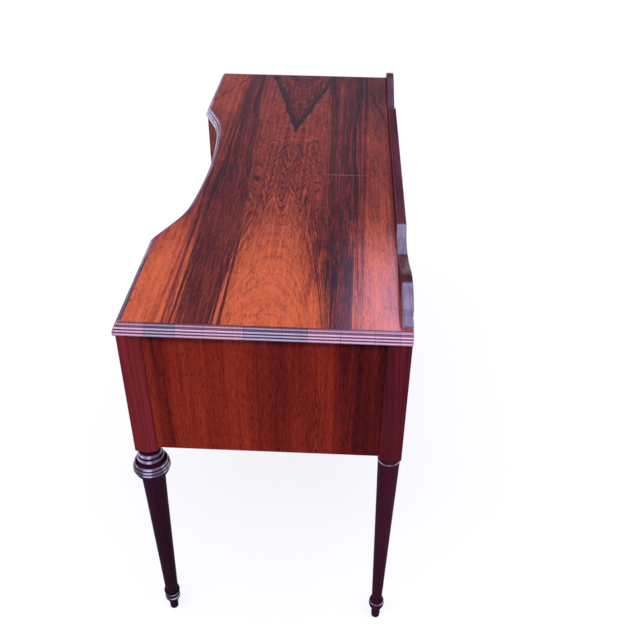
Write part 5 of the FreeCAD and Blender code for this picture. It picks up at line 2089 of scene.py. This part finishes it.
@dataclass
class Studio:
    """The floor with its swept-up rim, the lamps, the world and the camera.

    Attributes:
        spot: where the camera stands.
        right: the direction of the picture's right.
        down: the direction of the picture's lower edge.
        ahead: the direction that the camera looks in.
        lens: its focal length in millimetres.
        sensor: its sensor's width in millimetres.
        floor_radius: how far the floor is flat.
        rim_radius: the radius of its upward curve.
        rim_height: how high the rim rises.
        low_glow: the sky near the floor.
        high_glow: the sky above it.
        top_glow: the sky overhead.
        arch_glow: the bright arch at the right, placed to be mirrored in the polish.
        window_glow: the bright window at the left, placed to be mirrored too.
    """

    spot: Vector = field(default_factory=lambda: Vector((1.577639, 0.134324, 1.487788)))
    right: Vector = field(default_factory=lambda: Vector((-0.0444559, 0.99894611, 0.0114172)))
    down: Vector = field(default_factory=lambda: Vector((0.58347844, 0.0352397, -0.81136371)))
    ahead: Vector = field(default_factory=lambda: Vector((-0.81091096, -0.02940821, -0.58443013)))
    lens: float = 44.28
    sensor: float = 36.0
    floor_radius: float = 10.0
    rim_radius: float = 2.0
    rim_height: float = 3.6
    low_glow: Colour = (0.19, 0.18, 0.25)
    high_glow: Colour = (0.74, 0.72, 0.88)
    top_glow: Colour = (1.70, 1.70, 2.60)
    arch_glow: Colour = (5.30, 5.10, 6.20)
    window_glow: Colour = (2.0, 2.1, 4.0)

    def build(self) -> None:
        """Set everything up."""
        self.camera()
        self.floor()
        self.world()
        for lamp in LAMPS:
            lamp.light()
        bpy.context.scene.view_settings.view_transform = "Standard"

    def camera(self) -> None:
        """The camera, looking down on the desk's right end."""
        data = bpy.data.cameras.new("camera")
        data.lens = self.lens
        data.sensor_width = self.sensor
        data.sensor_fit = "HORIZONTAL"
        thing = bpy.data.objects.new("camera", data)
        bpy.context.scene.collection.objects.link(thing)
        turn = Matrix((self.right, -self.down, -self.ahead)).transposed().to_4x4()
        thing.matrix_world = Matrix.Translation(self.spot) @ turn
        bpy.context.scene.camera = thing

    def floor(self) -> None:
        """A wide pale floor that curves up into a low rim all round."""
        mesh = bmesh.new()
        pen = Pen(mesh, Vector())
        pen.line(Vector((self.floor_radius, 0.0, 0.0)))
        pen.arc(Vector((self.floor_radius, self.rim_radius, 0.0)), math.pi / 2.0)
        pen.line(Vector((self.floor_radius + self.rim_radius, self.rim_height, 0.0)))
        mesh.transform(Matrix.Rotation(math.pi / 2.0, 4, "X"))
        bmesh.ops.spin(
            mesh,
            geom=mesh.verts[:] + mesh.edges[:],
            cent=Vector(),
            axis=UP,
            dvec=Vector(),
            angle=2.0 * math.pi,
            steps=96,
            use_merge=True,
            use_duplicate=False,
        )
        bmesh.ops.remove_doubles(mesh, verts=mesh.verts[:], dist=WELD)
        bmesh.ops.recalc_face_normals(mesh, faces=mesh.faces[:])
        middle = min(mesh.faces, key=lambda face: face.calc_center_median().length)
        if middle.normal.z < 0.0:
            bmesh.ops.reverse_faces(mesh, faces=mesh.faces[:])
        data = bpy.data.meshes.new("floor")
        mesh.to_mesh(data)
        mesh.free()
        data.polygons.foreach_set("use_smooth", [True] * len(data.polygons))
        thing = bpy.data.objects.new("floor", data)
        bpy.context.scene.collection.objects.link(thing)
        data.materials.append(self.floor_finish())

    def floor_finish(self) -> bpy.types.Material:
        """White paint that also glows to straight, mirrored and transmitted sight, so that it looks white.

        Returns:
            The material.
        """
        graph = MaterialGraph("pale_floor")
        graph.feed(graph.shader.inputs["Base Color"], (0.90, 0.90, 0.90, 1.0))
        graph.feed(graph.shader.inputs["Roughness"], 0.9)
        graph.feed(graph.shader.inputs["Specular IOR Level"], 0.0)
        path = graph.tree.nodes.new("ShaderNodeLightPath")
        seen = graph.math("MAXIMUM", path.outputs["Is Camera Ray"], path.outputs["Is Glossy Ray"])
        seen = graph.math("MAXIMUM", seen, path.outputs["Is Transmission Ray"])
        glow = graph.tree.nodes.new("ShaderNodeEmission")
        graph.feed(glow.inputs["Color"], (1.0, 1.0, 1.0, 1.0))
        graph.feed(glow.inputs["Strength"], 1.0)
        mix = graph.tree.nodes.new("ShaderNodeMixShader")
        graph.feed(mix.inputs[0], seen * 0.75)
        graph.tree.links.new(graph.shader.outputs["BSDF"], mix.inputs[1])
        graph.tree.links.new(glow.outputs["Emission"], mix.inputs[2])
        graph.tree.links.new(mix.outputs[0], graph.output.inputs["Surface"])
        return graph.material

    def world(self) -> None:
        """An uneven sky: dim low down, bright overhead, with an arch at the right and a window at the left."""
        world = bpy.data.worlds.new("surround")
        world.use_nodes = True
        graph = Graph(world.node_tree)
        background = graph.tree.nodes["Background"]
        x, y, z = graph.parts(graph.tree.nodes.new("ShaderNodeTexCoord").outputs["Generated"])
        ceiling = graph.step(z, math.sin(math.radians(50.0)), math.sin(math.radians(62.0)))
        bearing = y / graph.math("MAXIMUM", -x, 0.05)
        rise = graph.step(bearing, -0.04, 0.09) * graph.step(z, 0.47, 0.58)
        window = rise * (graph.step(bearing, 0.4, 0.3) * graph.step(z, 0.88, 0.78))
        window = window * graph.step(x, -0.3, -0.45)
        colour = graph.mix(ceiling, self.low_glow, self.high_glow)
        overhead = graph.step(z, math.sin(math.radians(60.0)), math.sin(math.radians(71.0)))
        colour = graph.mix(overhead, colour, self.top_glow)
        flat = graph.math("SQRT", graph.math("MULTIPLY_ADD", y, y, x * x))
        east = graph.step(x / graph.math("MAXIMUM", flat, 0.01), 0.02, 0.3)
        arch = graph.step(z, 0.665, 0.72) * graph.step(z, 0.905, 0.86)
        colour = graph.mix(arch * east, colour, self.arch_glow)
        colour = graph.mix(window, colour, self.window_glow)
        graph.feed(background.inputs["Color"], colour)
        graph.feed(background.inputs["Strength"], 1.0)
        bpy.context.scene.world = world


# --- The desk -------------------------------------------------------------------------------------------


def main() -> None:
    """Build every sub-assembly round the frame."""
    logging.basicConfig(level=logging.INFO, format="%(message)s")
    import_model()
    finishes = Finishes()
    DeskTop(finishes).build()
    for row, stations in (("front", FRONT_LEG), ("rear", REAR_LEG)):
        for word in SIDES:
            TurnedLeg(row, word, stations, finishes).build()
    Carcass(finishes).build()
    for word in SIDES:
        Drawer(f"upper_{word}", f"drawer_knob_upper_{word}", True, finishes).build()
        Drawer(f"lower_{word}", f"drawer_knob_lower_{word}", False, finishes).build()
    Drawer("centre", "drawer_knobs_centre", True, finishes).build()
    Studio().build()


if __name__ == "__main__":
    main()
